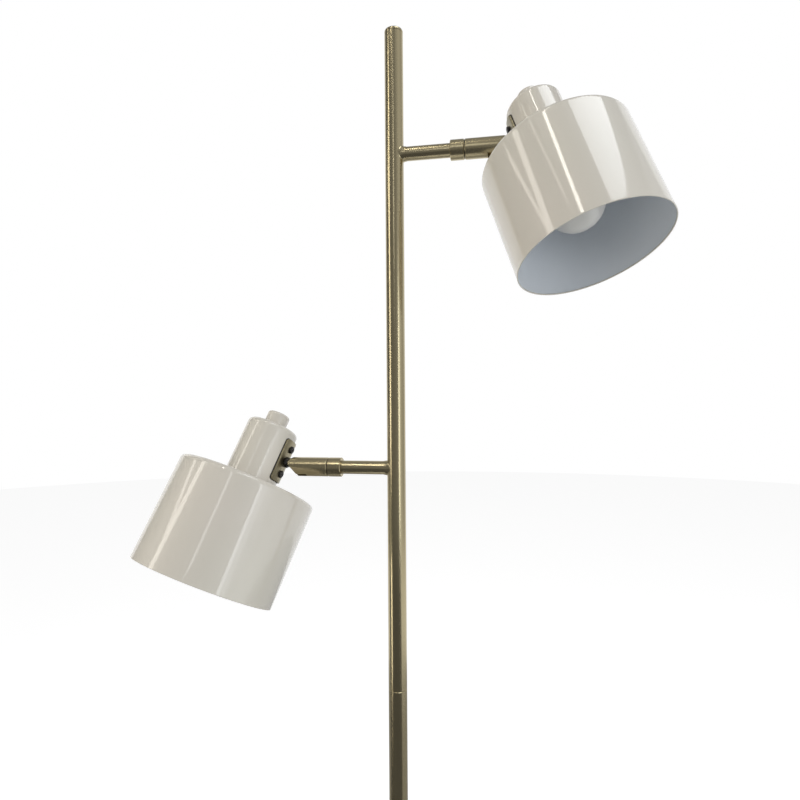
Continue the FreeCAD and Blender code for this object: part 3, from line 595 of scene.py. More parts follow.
def turned(name, corners, finish, steps=STEPS):
    """A piece of one finish, turned about its own Z axis."""
    points = anticlockwise(half_outline(corners))
    outline = line_of(points)
    piece = grown(turn_round, name, {
        "Outline": outline, "Points": len(points), "Steps": steps, "Crisp Angle": CRISP,
        "Finish": finish})
    bpy.data.objects.remove(outline)
    return piece


def settle(skin, place, nodes):
    """Moves a skin's mesh to its place and lets it stand for its nodes."""
    skin.data.transform(place)
    skin.data.update()
    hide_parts(*nodes)
    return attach(skin, frame["nodes"][nodes[0]]["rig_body"])


def turn(name, corners, finish, place=Matrix.Identity(4), steps=STEPS):
    """A turned skin, set in place for the node that it is named after."""
    return settle(turned(name, corners, finish, steps), place, (name.removesuffix("_skin"),))


print("turned skins have", STEPS, "steps round")

# %% [markdown]
# ## Where each piece stands
#
# A piece is turned about its own Z axis and then carried to its place.  The places could be
# typed in, but the packed model already holds them: a node's box gives the pole's and the foot's
# heights and sizes, each arm's swivel joint gives its height and direction, and each head hangs
# on a joint whose position and axis say where its own frame is.  The sizes that these can't show,
# such as a shade's radius, and the arms' lengths are written here.

# %% Places read from the frame
def frame_of(origin, axis, towards):
    """A placement with Z along axis and X as near as possible to towards."""
    up = Vector(axis).normalized()
    across = Vector(towards)
    across = (across - up * across.dot(up)).normalized()
    side = up.cross(across)
    turned = Matrix((across, side, up)).transposed().to_4x4()
    return Matrix.Translation(origin) @ turned


KNOB_JOINT_HEIGHT = 0.065


def head_frame(side):
    """The head's own frame: its origin on the shade's top, Z up through neck and knob."""
    knob, tilt = joints[f"{side}_knob_turn"], joints[f"{side}_tilt"]
    axis = Vector(knob["axis"])
    origin = Vector(knob["pos_m"]) - axis * KNOB_JOINT_HEIGHT
    return frame_of(origin, axis, origin - Vector(tilt["pos_m"]))


def pivot_frame(side):
    """The head's frame moved to its tilt axis: X towards the neck, Z along the head."""
    to_pivot = Vector(joints[f"{side}_tilt"]["pos_m"]) - HEADS[side].translation
    return Matrix.Translation(to_pivot) @ HEADS[side]


def arm_frame(side, towards=(0.0, 0.0, 1.0)):
    """The arm's frame: its origin on the pole's axis, Z out along the arm."""
    swivel = joints[f"{side}_swivel"]
    return frame_of((0.0, 0.0, swivel["pos_m"][2]), swivel["axis"], towards)


def knuckle_frame(side):
    """The arm's frame turned with the swivel, so that Y is along the tilt axis."""
    outwards, tilt = (Vector(joints[f"{side}_{name}"]["axis"]) for name in ("swivel", "tilt"))
    return arm_frame(side, tilt.cross(outwards))


HEADS = {side: head_frame(side) for side in ("upper", "lower")}
PIVOTS = {side: pivot_frame(side) for side in HEADS}
KNUCKLES = {side: knuckle_frame(side) for side in HEADS}
ARMS = {side: arm_frame(side) for side in HEADS}
for side, place in HEADS.items():
    print(side, "head at", tuple(round(value, 4) for value in place.translation))

# %% [markdown]
# ## Pole
#
# The pole is three lengths of 19 mm tube, joined over hidden sleeves, with a rounded plug at the
# top.  Its only relief is where it ends: each length has a small bevel, and two bevels meet as
# the thin dark groove of a joint.

# %% Pole sections and cap
POLE_WALL = 0.0012
POLE_BEVEL = 0.0004
CAP_ROUND = 0.0026

low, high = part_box("pole_top_section")
pole_radius = (high.x - low.x) / 2


def pole_length(node):
    low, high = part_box(node)
    inner = pole_radius - POLE_WALL
    edge = pole_radius - POLE_BEVEL
    turn(f"{node}_skin", [
        (inner, low.z), (edge, low.z), (pole_radius, low.z + POLE_BEVEL),
        (pole_radius, high.z - POLE_BEVEL), (edge, high.z), (inner, high.z),
    ], brass_pole)


for node in ("pole_bottom_section", "pole_middle_section", "pole_top_section"):
    pole_length(node)
seat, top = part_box("pole_top_section")[1].z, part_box("pole_cap")[1].z
turn("pole_cap_skin", [
    (0.0, seat), (pole_radius, seat), (pole_radius, top, CAP_ROUND), (0.0, top),
], brass_pole)
print("pole radius", round(pole_radius * 1000, 2), "mm, top", round(top, 3), "m")

# %% [markdown]
# ## Foot
#
# A thin brass dish is spun over a cast disc, and a collar covers the stud that pulls the pole
# down onto it.  Spinning leaves the dish a rolled shoulder.  A felt pad glued underneath keeps
# it off the floor, and a moulded gland in the rim at the back lets the supply lead out.

# %% Dish, collar, felt and gland
COVER_WALL = 0.0012
COVER_ROUND = 0.006
HOLE_RADIUS = 0.0051
COLLAR_SEAT = 0.002
COLLAR_RIM = 0.0115
COLLAR_ROUND = 0.0007
POLE_GAP = 0.00005
FELT_ROUND = 0.0006

low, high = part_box("base_cover")
cover_radius = (high.x - low.x) / 2
inner = cover_radius - COVER_WALL
turn("base_cover_skin", [
    (HOLE_RADIUS, high.z - COVER_WALL), (inner, high.z - COVER_WALL, COVER_ROUND - COVER_WALL),
    (inner, low.z), (cover_radius, low.z), (cover_radius, high.z, COVER_ROUND),
    (HOLE_RADIUS, high.z),
], brass_foot, steps=STEPS * 2)
low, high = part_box("foot_collar")
bore = pole_radius + POLE_GAP
wide = (high.x - low.x) / 2
turn("foot_collar_skin", [
    (HOLE_RADIUS, low.z), (wide, low.z), (wide, low.z + COLLAR_SEAT, COLLAR_ROUND),
    (COLLAR_RIM, high.z, COLLAR_ROUND), (bore, high.z), (bore, low.z + COLLAR_SEAT),
    (HOLE_RADIUS, low.z + COLLAR_SEAT),
], brass_foot)
low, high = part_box("base_felt_pad")
turn("base_felt_pad_skin", [
    (0.0, low.z), ((high.x - low.x) / 2, low.z, FELT_ROUND),
    ((high.x - low.x) / 2, high.z, FELT_ROUND), (0.0, high.z),
], felt)
print("foot radius", round(cover_radius * 1000, 1), "mm")

# %% Gland
GLAND_HEIGHT = 0.009
GLAND_BORE, GLAND_NECK, GLAND_LIP, GLAND_FLANGE = 0.0031, 0.0048, 0.0056, 0.0063
GLAND_LIP_THICK, GLAND_LIP_GAP, GLAND_FLANGE_THICK = 0.0015, 0.0002, 0.003
GLAND_ROUND = 0.0009
GLAND_STEPS = 64

wall_inside = inner - GLAND_LIP_GAP
flange_end = cover_radius + GLAND_FLANGE_THICK
gland_place = frame_of((0.0, 0.0, GLAND_HEIGHT), (0.0, 1.0, 0.0), (1.0, 0.0, 0.0))
turn("cord_gland_skin", [
    (GLAND_BORE, wall_inside - GLAND_LIP_THICK), (GLAND_LIP, wall_inside - GLAND_LIP_THICK),
    (GLAND_LIP, wall_inside), (GLAND_NECK, wall_inside), (GLAND_NECK, cover_radius),
    (GLAND_FLANGE, cover_radius), (GLAND_FLANGE, flange_end, GLAND_ROUND),
    (GLAND_BORE, flange_end, GLAND_ROUND / 2),
], black_plastic, gland_place, steps=GLAND_STEPS)
print("gland reaches", round(flange_end * 1000, 1), "mm")

# %% [markdown]
# ## Arms
#
# Each arm is a slim tube that flares into the pole through a cupped saddle, and ends in a
# collar.  The collar and the knuckle behind it turn against each other on a thin ring.  All are
# turned but for the saddle, whose end follows the pole's round side.  A boolean cut would make
# it, but here every ring of its mesh is simply laid on the pole by Pythagoras.

# %% Tube, ring and collar of each arm
ARM_RADIUS, ARM_BORE = 0.007, 0.0058
ROOT_RADIUS, ROOT_START, ARM_START = 0.005, 0.0008, 0.0097
COLLAR_START, COLLAR_END = 0.0576, 0.0717
COLLAR_RADIUS = 0.010
EDGE_BEVEL = 0.0006
COLLAR_SOCKET = 0.005
SPINDLE_RADIUS, SPINDLE_END = 0.004, 0.086
RING_RADIUS, RING_THICK, KNUCKLE_START = 0.0091, 0.0005, 0.0723


def arm_skins(side):
    place = ARMS[side]
    bore = ARM_RADIUS + POLE_GAP
    edge = COLLAR_RADIUS - EDGE_BEVEL
    socket = COLLAR_START + COLLAR_SOCKET
    turn(f"{side}_arm_tube_skin", [
        (0.0, ROOT_START), (ROOT_RADIUS, ROOT_START), (ROOT_RADIUS, ARM_START),
        (ARM_RADIUS, ARM_START), (ARM_RADIUS, socket), (ARM_BORE, socket),
        (ARM_BORE, COLLAR_START), (0.0, COLLAR_START),
    ], brass_arm, place, steps=FEW_STEPS)
    turn(f"{side}_arm_collar_skin", [
        (bore, COLLAR_START), (edge, COLLAR_START), (COLLAR_RADIUS, COLLAR_START + EDGE_BEVEL),
        (COLLAR_RADIUS, COLLAR_END - EDGE_BEVEL), (edge, COLLAR_END),
        (SPINDLE_RADIUS, COLLAR_END), (SPINDLE_RADIUS, SPINDLE_END), (0.0, SPINDLE_END),
        (0.0, socket), (bore, socket),
    ], brass_arm, place, steps=FEW_STEPS)
    ring_low = (COLLAR_END + KNUCKLE_START - RING_THICK) / 2
    turn(f"{side}_swivel_ring_skin", [
        (SPINDLE_RADIUS + POLE_GAP, ring_low), (RING_RADIUS, ring_low),
        (RING_RADIUS, ring_low + RING_THICK), (SPINDLE_RADIUS + POLE_GAP, ring_low + RING_THICK),
    ], black_plastic, place, steps=FEW_STEPS)


for side in ARMS:
    arm_skins(side)
print("arms at", [round(place.translation.z, 3) for place in ARMS.values()])

# %% Saddle that follows the pole
SADDLE_RADIUS, SADDLE_END, SADDLE_LIP = 0.0083, 0.0123, 0.0003
SADDLE_STEPS, FLARE_STEPS = 96, 8


def saddle_skin(side):
    """Rings (radius, share of the way from its end to the pole), closed into one loop."""
    inner = ARM_RADIUS + POLE_GAP
    lip = inner + SADDLE_LIP
    profile = [(inner, 0.0), (lip, 0.0)]
    for step in range(1, FLARE_STEPS + 1):
        angle = math.pi / 2 * step / FLARE_STEPS
        profile.append((lip + (SADDLE_RADIUS - lip) * (1 - math.cos(angle)), math.sin(angle)))
    profile.append((inner, 1.0))
    seat = pole_radius + POLE_GAP
    corners, faces = [], []
    for radius, share in profile:
        for step in range(SADDLE_STEPS):
            angle = 2 * math.pi * step / SADDLE_STEPS
            up, across = radius * math.cos(angle), radius * math.sin(angle)
            on_pole = math.sqrt(seat ** 2 - across ** 2)
            corners.append((up, across, SADDLE_END + (on_pole - SADDLE_END) * share))
    for row in range(len(profile)):
        for step in range(SADDLE_STEPS):
            ahead, below = (step + 1) % SADDLE_STEPS, (row + 1) % len(profile)
            faces.append((row * SADDLE_STEPS + step, below * SADDLE_STEPS + step,
                          below * SADDLE_STEPS + ahead, row * SADDLE_STEPS + ahead))
    mesh = bpy.data.meshes.new(f"{side}_arm_saddle_skin")
    mesh.from_pydata(corners, [], faces)
    skin = added(mesh.name, smooth_outside(mesh))
    dress(skin, brass_arm)
    settle(skin, ARMS[side], (f"{side}_arm_saddle",))


def smooth_outside(mesh):
    """Faces turned outwards and smooth, with true corners left crisp."""
    shape = bmesh.new()
    shape.from_mesh(mesh)
    bmesh.ops.recalc_face_normals(shape, faces=shape.faces)
    for face in shape.faces:
        face.smooth = True
    shape.to_mesh(mesh)
    shape.free()
    mesh.set_sharp_from_angle(angle=CRISP)
    return mesh


for side in ARMS:
    saddle_skin(side)
print("saddles flare to", round(SADDLE_RADIUS * 1000, 1), "mm")

# %% [markdown]
# ## Plates, tongues, nuts and tilt screws
#
# These are machined pieces, whose real edges are broken, so that a thin line of light runs along
# each one.  They could be modelled again.  Here a merged copy of the packed mesh, whose shape is
# right, gets its true corners bevelled and its round faces smoothed.  Harden Normals keeps the
# flat faces flat under a glossy finish.

# %% Copies with broken edges
CORNER = math.radians(30)
NEARLY_FLAT = math.radians(0.3)
EDGES = {"plate": (brass_plate, 0.0003), "tongue": (blackened, 0.0003),
         "hinge_nuts": (blackened, 0.0003), "tilt_screw": (blackened, 0.0002)}


def cut_and_break(item, cuts, width, segments=2):
    """Cuts an object with others, rounds its corners and keeps the result as its mesh."""
    for cut in cuts:
        boolean = item.modifiers.new("cut", "BOOLEAN")
        boolean.operation = "DIFFERENCE"
        boolean.solver = "EXACT"
        boolean.object = cut
    bevel = item.modifiers.new("broken_edges", "BEVEL")
    bevel.width = width
    bevel.segments = segments
    bevel.limit_method = "ANGLE"
    bevel.angle_limit = CORNER
    bevel.use_clamp_overlap = False
    bevel.harden_normals = True
    ready = bpy.context.evaluated_depsgraph_get()
    item.data = bpy.data.meshes.new_from_object(item.evaluated_get(ready), depsgraph=ready)
    item.modifiers.clear()
    for cut in cuts:
        bpy.data.objects.remove(cut)


def broken_edges(node, finish, width):
    """A finished copy of a packed node, with edges rounded to a width in metres."""
    mesh = frame["nodes"][node].data.copy()
    shape = bmesh.new()
    shape.from_mesh(mesh)
    bmesh.ops.remove_doubles(shape, verts=shape.verts, dist=MERGE)
    bmesh.ops.dissolve_limit(shape, angle_limit=NEARLY_FLAT, verts=shape.verts,
                             edges=shape.edges)
    for face in shape.faces:
        face.smooth = True
    shape.to_mesh(mesh)
    shape.free()
    skin = added(f"{node}_skin", mesh)
    cut_and_break(skin, [], width)
    dress(skin, finish)
    return settle(skin, Matrix.Identity(4), (node,))


for side in PIVOTS:
    for name, (finish, width) in EDGES.items():
        broken_edges(f"{side}_{name}", finish, width)
print("broken edges on", len(EDGES) * len(PIVOTS), "pieces")

# %% [markdown]
# ## Knuckles
#
# A knuckle is a round bar, bored for the spindle, with a slot for the tongue and a nose that is
# cut steeply above and at 45 degrees below.  It could be a copy of the packed mesh, like the
# pieces before it.  Here the bar is turned in many steps, so that its long side has no facets,
# and booleans cut it as a mill would.

# %% Turned bar and its cuts
KNUCKLE_WALL, KNUCKLE_CAVITY = 0.0077, 0.0068
SLOT_START, SLOT_WIDTH = 0.095, 0.007
NOSE_CORNER, NOSE_END, NOSE_HIGH, NOSE_LOW = 0.110, 0.1143, 0.003, 0.0005
UNDER_BEVEL = 0.105
PIVOT_REACH = 0.1051
PIN_RADIUS, PIN_HEAD_RADIUS = 0.00255, 0.00445
PIN_HEAD_START, PIN_DEPTH = 0.0058, 0.0085
HOLE_GAP = 0.00005
REACH = 0.012
KNUCKLE_EDGE = 0.0004
DRILL_DEGREES = 6


def prism(outline, width):
    """A cutter: an outline of (X, Z) corners with a width across, along Y."""
    shape = bmesh.new()
    near = [shape.verts.new((x, -width / 2, z)) for x, z in outline]
    far = [shape.verts.new((x, width / 2, z)) for x, z in outline]
    shape.faces.new(near)
    shape.faces.new(far[::-1])
    for index in range(len(outline)):
        ahead = (index + 1) % len(outline)
        shape.faces.new((near[index], far[index], far[ahead], near[ahead]))
    bmesh.ops.recalc_face_normals(shape, faces=shape.faces)
    mesh = bpy.data.meshes.new("cutter")
    shape.to_mesh(mesh)
    shape.free()
    return added("cutter", mesh)


def slab(half, low, high, width):
    """A cutter: a block from low to high along Z."""
    return prism([(-half, low), (half, low), (half, high), (-half, high)], width)


def drill(radius, start, end):
    """A cutter: a round bar along Y at the tilt pivot."""
    rim = [math.radians(degrees) for degrees in range(0, 360, DRILL_DEGREES)]
    item = prism([(radius * math.cos(angle), radius * math.sin(angle)) for angle in rim],
                 abs(end - start))
    item.data.transform(Matrix.Translation((0.0, (start + end) / 2, PIVOT_REACH)))
    return item


def knuckle_skin(side):
    """A bored bar with its slot, its nose's two slopes and the tilt screw's seat cut out."""
    place = KNUCKLES[side]
    bore, cavity_start = SPINDLE_RADIUS + HOLE_GAP, KNUCKLE_START + KNUCKLE_WALL
    cavity_end = SLOT_START + MERGE
    bar = turned(f"{side}_knuckle_skin", [
        (bore, KNUCKLE_START), (COLLAR_RADIUS - EDGE_BEVEL, KNUCKLE_START),
        (COLLAR_RADIUS, KNUCKLE_START + EDGE_BEVEL), (COLLAR_RADIUS, NOSE_END), (0.0, NOSE_END),
        (0.0, cavity_end), (KNUCKLE_CAVITY, cavity_end), (KNUCKLE_CAVITY, cavity_start),
        (bore, cavity_start),
    ], brass_arm)
    screw_low, screw_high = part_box(f"{side}_tilt_screw")
    middle = place.inverted() @ ((screw_low + screw_high) / 2)
    head_side = 1 if middle.y > 0 else -1
    beyond = NOSE_END + REACH
    cuts = [
        slab(REACH, SLOT_START, beyond, SLOT_WIDTH),
        prism([(COLLAR_RADIUS, NOSE_CORNER), (REACH, NOSE_CORNER), (REACH, beyond),
               (NOSE_HIGH, beyond), (NOSE_HIGH, NOSE_END)], REACH * 2),
        prism([(-NOSE_LOW, NOSE_END), (-NOSE_LOW, beyond), (-REACH, beyond),
               (-REACH, UNDER_BEVEL), (-COLLAR_RADIUS, UNDER_BEVEL)], REACH * 2),
        drill(PIN_RADIUS, -head_side * PIN_DEPTH, head_side * REACH),
        drill(PIN_HEAD_RADIUS, head_side * PIN_HEAD_START, head_side * REACH),
    ]
    cut_and_break(bar, cuts, KNUCKLE_EDGE)
    return settle(bar, place, (f"{side}_knuckle",))


for side in KNUCKLES:
    print(side, "knuckle has", len(knuckle_skin(side).data.polygons), "faces")

# %% [markdown]
# ## Plate screws
#
# Two pan-head screws with a cross recess hold each curved plate to its neck.  Screws repeat, so
# one is made and a Geometry Nodes tree sets a row of it.  The head is turned, and a boolean cuts
# the cross, because a recess is a real hollow that catches the light on its walls.

# %% One screw
SCREW_HEAD_RADIUS, SCREW_HEAD, SCREW_HEAD_ROUND = 0.0039, 0.0023, 0.0012
SCREW_RADIUS, SCREW_LENGTH, SCREW_POINT = 0.002, 0.009, 0.0006
RECESS_LONG, RECESS_NARROW, RECESS_DEPTH = 0.0046, 0.001, 0.0013
HEAD_AXIS_REACH, PLATE_OUTSIDE = 0.046, 0.0301
PLATE_FACE = HEAD_AXIS_REACH - PLATE_OUTSIDE
SCREW_STEPS = 48
SCREW_SPACING = 0.028
EDGE_ROUND = 0.00012


def cross_screw():
    """A screw that points along +X, with its head's seat at the origin."""
    screw = turned("screw", [
        (0.0, -SCREW_HEAD), (SCREW_HEAD_RADIUS, -SCREW_HEAD, SCREW_HEAD_ROUND),
        (SCREW_HEAD_RADIUS, 0.0), (SCREW_RADIUS, 0.0), (SCREW_RADIUS, SCREW_LENGTH - SCREW_POINT),
        (SCREW_RADIUS - SCREW_POINT, SCREW_LENGTH), (0.0, SCREW_LENGTH),
    ], blackened, SCREW_STEPS)
    crown = -SCREW_HEAD
    cuts = [slab(long / 2, crown - RECESS_DEPTH, crown + RECESS_DEPTH, wide)
            for long, wide in ((RECESS_LONG, RECESS_NARROW), (RECESS_NARROW, RECESS_LONG))]
    cut_and_break(screw, cuts, EDGE_ROUND, segments=1)
    screw.data.transform(Matrix.Rotation(math.radians(90), 4, "Y"))
    return screw


def row_tree():
    tree, bench, given = tree_with("screws_in_a_row", [
        ("Screw", "NodeSocketObject"), ("Count", "NodeSocketInt"),
        ("Spacing", "NodeSocketFloat"), ("Finish", "NodeSocketMaterial")])
    pattern = bench.node("GeometryNodeObjectInfo", sockets={"Object": given["Screw"]},
                         output="Geometry")
    lowest = (given["Count"] - 1) * given["Spacing"] * -0.5
    row = bench.node("GeometryNodeMeshLine", {"mode": "OFFSET"}, {
        "Count": given["Count"],
        "Start Location": bench.node("ShaderNodeCombineXYZ", sockets={"Z": lowest}),
        "Offset": bench.node("ShaderNodeCombineXYZ", sockets={"Z": given["Spacing"]})},
        output="Mesh")
    placed = bench.node("GeometryNodeInstanceOnPoints", sockets={
        "Points": row, "Instance": pattern}, output="Instances")
    finish_tree(bench, placed, given["Finish"])
    return tree


one_screw = cross_screw()
in_a_row = row_tree()
for side in PIVOTS:
    pair = grown(in_a_row, f"{side}_plate_screws_skin", {
        "Screw": one_screw, "Count": 2, "Spacing": SCREW_SPACING, "Finish": blackened})
    settle(pair, PIVOTS[side] @ Matrix.Translation((PLATE_FACE, 0.0, 0.0)),
           (f"{side}_plate_screws",))
bpy.data.objects.remove(one_screw)
print("screws:", 2 * len(PIVOTS))

# %% [markdown]
# ## Shade and neck
#
# The shade is a drawn steel cup with a rolled hem at its mouth.  Its outside and its hem are
# lacquered, its inside is white.  Seen on edge the hem is a thin bright line, so it gets its
# real roundness.  The neck is a smaller cup the other way up, which sits on the shade and hides
# the lampholder.

# %% Lacquered cups
SHEET = 0.0008
SHADE_RADIUS, SHADE_LENGTH, SHADE_ROUND = 0.074, 0.1107, 0.0045
HEM_WIDTH, HEM_HEIGHT, HEM_SLOPE, HEM_ROUND = 0.0011, 0.0012, 0.0005, 0.0004
NECK_RADIUS, NECK_HEIGHT, NECK_ROUND = 0.028, 0.0647, 0.0045
HOLDER_HOLE = 0.020
BUSH_HOLE = 0.0051
TOWARDS_AXIS, TOWARDS_MOUTH = -1e-6, -0.5


def line_inside(skin, place):
    """Gives the faces that look into the cup, above the hem, the white lining."""
    skin.data.materials.append(lining)
    to_head = place.inverted()
    turn_back = to_head.to_3x3()
    above_hem = HEM_HEIGHT + HEM_SLOPE / 4 - SHADE_LENGTH
    lined = 0
    for face in skin.data.polygons:
        centre = to_head @ face.center
        normal = turn_back @ face.normal
        out = normal.x * centre.x + normal.y * centre.y
        if (out < TOWARDS_AXIS or normal.z < TOWARDS_MOUTH) and centre.z > above_hem:
            face.material_index = 1
            lined += 1
    return lined


def cups(side):
    place = HEADS[side]
    wall = SHADE_RADIUS - SHEET
    hem = SHADE_RADIUS - HEM_WIDTH
    mouth = -SHADE_LENGTH
    shade = turn(f"{side}_shade_skin", [
        (HOLDER_HOLE, -SHEET), (wall, -SHEET, SHADE_ROUND - SHEET),
        (wall, mouth + HEM_HEIGHT + HEM_SLOPE), (hem, mouth + HEM_HEIGHT),
        (hem, mouth, HEM_ROUND), (SHADE_RADIUS, mouth, HEM_ROUND),
        (SHADE_RADIUS, 0.0, SHADE_ROUND), (HOLDER_HOLE, 0.0),
    ], lacquer, place, steps=FINE_STEPS)
    inner = NECK_RADIUS - SHEET
    turn(f"{side}_neck_skin", [
        (HOLDER_HOLE, 0.0), (NECK_RADIUS, 0.0), (NECK_RADIUS, NECK_HEIGHT, NECK_ROUND),
        (BUSH_HOLE, NECK_HEIGHT), (BUSH_HOLE, NECK_HEIGHT - SHEET),
        (inner, NECK_HEIGHT - SHEET, NECK_ROUND - SHEET), (inner, SHEET), (HOLDER_HOLE, SHEET),
    ], lacquer, place)
    return line_inside(shade, place)


for side in HEADS:
    print(side, "shade has", cups(side), "lined faces")

# %% Lampholder and its ring
HOLDER_RADIUS, HOLDER_BORE, HOLDER_BOTTOM, HOLDER_TOP = 0.0196, 0.0143, 0.010, 0.030
HOLDER_FLANGE_RADIUS, HOLDER_FLANGE = 0.025, 0.0024
HOLDER_LEAD, HOLDER_BORE_TOP = 0.003, 0.024
HOLDER_TOP_ROUND, HOLDER_RIM_ROUND = 0.002, 0.0008
RING_OUTSIDE, RING_HEIGHT, RING_ROUND = 0.026, 0.006, 0.001
FACE_GAP = 0.00005


def holder_skins(side):
    low = SHEET + FACE_GAP
    high = low + HOLDER_FLANGE
    turn(f"{side}_lampholder_skin", [
        (HOLDER_BORE, -HOLDER_BOTTOM, HOLDER_RIM_ROUND / 2),
        (HOLDER_RADIUS, -HOLDER_BOTTOM, HOLDER_RIM_ROUND), (HOLDER_RADIUS, low),
        (HOLDER_FLANGE_RADIUS, low), (HOLDER_FLANGE_RADIUS, high), (HOLDER_RADIUS, high),
        (HOLDER_RADIUS, HOLDER_TOP, HOLDER_TOP_ROUND), (HOLDER_LEAD, HOLDER_TOP),
        (HOLDER_LEAD, HOLDER_BORE_TOP), (HOLDER_BORE, HOLDER_BORE_TOP),
    ], black_plastic, HEADS[side], steps=FEW_STEPS)
    ring_top = -SHEET - FACE_GAP
    turn(f"{side}_shade_ring_skin", [
        (HOLDER_RADIUS + HOLE_GAP, ring_top - RING_HEIGHT),
        (RING_OUTSIDE, ring_top - RING_HEIGHT, RING_ROUND), (RING_OUTSIDE, ring_top),
        (HOLDER_RADIUS + HOLE_GAP, ring_top),
    ], black_plastic, HEADS[side], steps=FEW_STEPS)


for side in HEADS:
    holder_skins(side)
print("lampholders reach", round(HOLDER_BOTTOM * 1000, 1), "mm into the shades")

# %% [markdown]
# ## Knob and bulb
#
# The knob is a small lacquered drum that floats a hair above the neck.  The bulb is a frosted
# globe that draws in to a straight neck.  Its crown is left bare.

# %% Knob and bulb
KNOB_RADIUS, KNOB_HEIGHT, KNOB_LIFT = 0.0123, 0.0148, 0.0004
KNOB_ROUND, KNOB_RIM_ROUND = 0.0024, 0.0005
KNOB_RECESS_RADIUS, KNOB_RECESS = 0.009, 0.0045
STEM_RADIUS, STEM_BOTTOM = 0.003, 0.0102
BULB_RADIUS, BULB_CENTRE = 0.029, 0.055
BULB_NECK_RADIUS, BULB_NECK_TOP, BULB_NECK_BOTTOM = 0.0132, 0.004, 0.011
BULB_SHOULDER, BULB_NECK_ROUND = 0.0246, 0.002
GLOBE_STEPS = 24


def knob_skin(side):
    low = NECK_HEIGHT + KNOB_LIFT
    high = NECK_HEIGHT + KNOB_HEIGHT
    turn(f"{side}_knob_skin", [
        (0.0, NECK_HEIGHT - STEM_BOTTOM), (STEM_RADIUS, NECK_HEIGHT - STEM_BOTTOM),
        (STEM_RADIUS, low + KNOB_RECESS), (KNOB_RECESS_RADIUS, low + KNOB_RECESS),
        (KNOB_RECESS_RADIUS, low), (KNOB_RADIUS, low, KNOB_RIM_ROUND),
        (KNOB_RADIUS, high, KNOB_ROUND), (0.0, high),
    ], lacquer, HEADS[side], steps=FEW_STEPS)


def bulb_skin(side):
    rise = math.sqrt(BULB_RADIUS ** 2 - BULB_SHOULDER ** 2)
    last = math.pi / 2 + math.asin(rise / BULB_RADIUS)
    globe = [(BULB_RADIUS * math.sin(last * step / GLOBE_STEPS),
              -BULB_CENTRE - BULB_RADIUS * math.cos(last * step / GLOBE_STEPS))
             for step in range(GLOBE_STEPS + 1)]
    turn(f"{side}_bulb_glass_skin", globe + [
        (BULB_NECK_RADIUS, -BULB_NECK_BOTTOM, BULB_NECK_ROUND),
        (BULB_NECK_RADIUS, -BULB_NECK_TOP),
        (0.0, -BULB_NECK_TOP),
    ], bulb_glass, HEADS[side], steps=FEW_STEPS)


for side in HEADS:
    knob_skin(side)
    bulb_skin(side)
print("knobs and bulbs for", ", ".join(HEADS))

# %% [markdown]
# ## Studio
#
# The lamp stands on a pale floor in front of a white backdrop.  That white is the colour of the
# floor and of the world, not extra light.  Metal shows what stands round it, and in front of
# the lamp that is a dim room: a wall whose brightness changes with its direction, a ceiling and
# two mats, all seen only in reflections.  They give the brass its dark bands.  The lights are
# windows and tubes, placed by the streaks that they leave on the lacquer.

# %% World and floor
ROOM_LIGHT = 0.45
FLOOR_GLOW = 0.7
FLOOR_COLOUR = (0.55, 0.55, 0.55, 1.0)
FLOOR_SIDES, FLOOR_RADIUS = 96, 9.0
WHITE, BLACK = (1.0, 1.0, 1.0), (0.0, 0.0, 0.0)


def background(bench):
    """1 for the rays that show the white behind the lamp, 0 for those that carry its light."""
    rays = bench.node("ShaderNodeLightPath", output="Is Camera Ray")
    shown = rays + rays.part("Is Glossy Ray") + rays.part("Is Transmission Ray")
    return shown.maths("MINIMUM", shown, 1.0)


world = bpy.data.worlds.new("white_room")
bench = emptied(world)
strength = background(bench) * (1.0 - ROOM_LIGHT) + ROOM_LIGHT
room = bench.node("ShaderNodeBackground", sockets={"Color": (*WHITE, 1.0), "Strength": strength})
bench.node("ShaderNodeOutputWorld", sockets={"Surface": room})
bpy.context.scene.world = world


def glowing(name, glow_of, paint=(*BLACK, 1.0), light=WHITE):
    """A stage material: paint for light that falls on it, and a glow, a number or a function."""
    made = bpy.data.materials.new(name)
    bench = emptied(made)
    coat = bench.node("ShaderNodeBsdfDiffuse", sockets={"Color": paint})
    glow = glow_of(bench) if callable(glow_of) else glow_of
    lit = bench.node("ShaderNodeEmission", sockets={"Color": (*light, 1.0), "Strength": glow})
    both = bench.node("ShaderNodeAddShader", sockets={0: coat, 1: lit})
    bench.node("ShaderNodeOutputMaterial", sockets={"Surface": both})
    return made


bpy.ops.mesh.primitive_circle_add(vertices=FLOOR_SIDES, radius=FLOOR_RADIUS, fill_type="NGON")
floor = bpy.context.object
floor.name = "floor"
dress(floor, glowing("floor_white", lambda bench: background(bench) * FLOOR_GLOW, FLOOR_COLOUR))
print("room light", ROOM_LIGHT)

# %% Windows and tubes
STAGE_CENTRE = Vector((0.0, 0.0, 1.15))
FAR, NEAR = 3.4, 1.6
PANEL_STEPS = 12
WARM = (1.0, 0.95, 0.86)
COOL = (0.94, 0.97, 1.0)


def way(azimuth, elevation):
    """A direction from the lamp.  Azimuth 0 is towards the camera's side, 90 to the right."""
    a, e = math.radians(azimuth), math.radians(elevation)
    return Vector((math.sin(a) * math.cos(e), -math.cos(a) * math.cos(e), math.sin(e)))


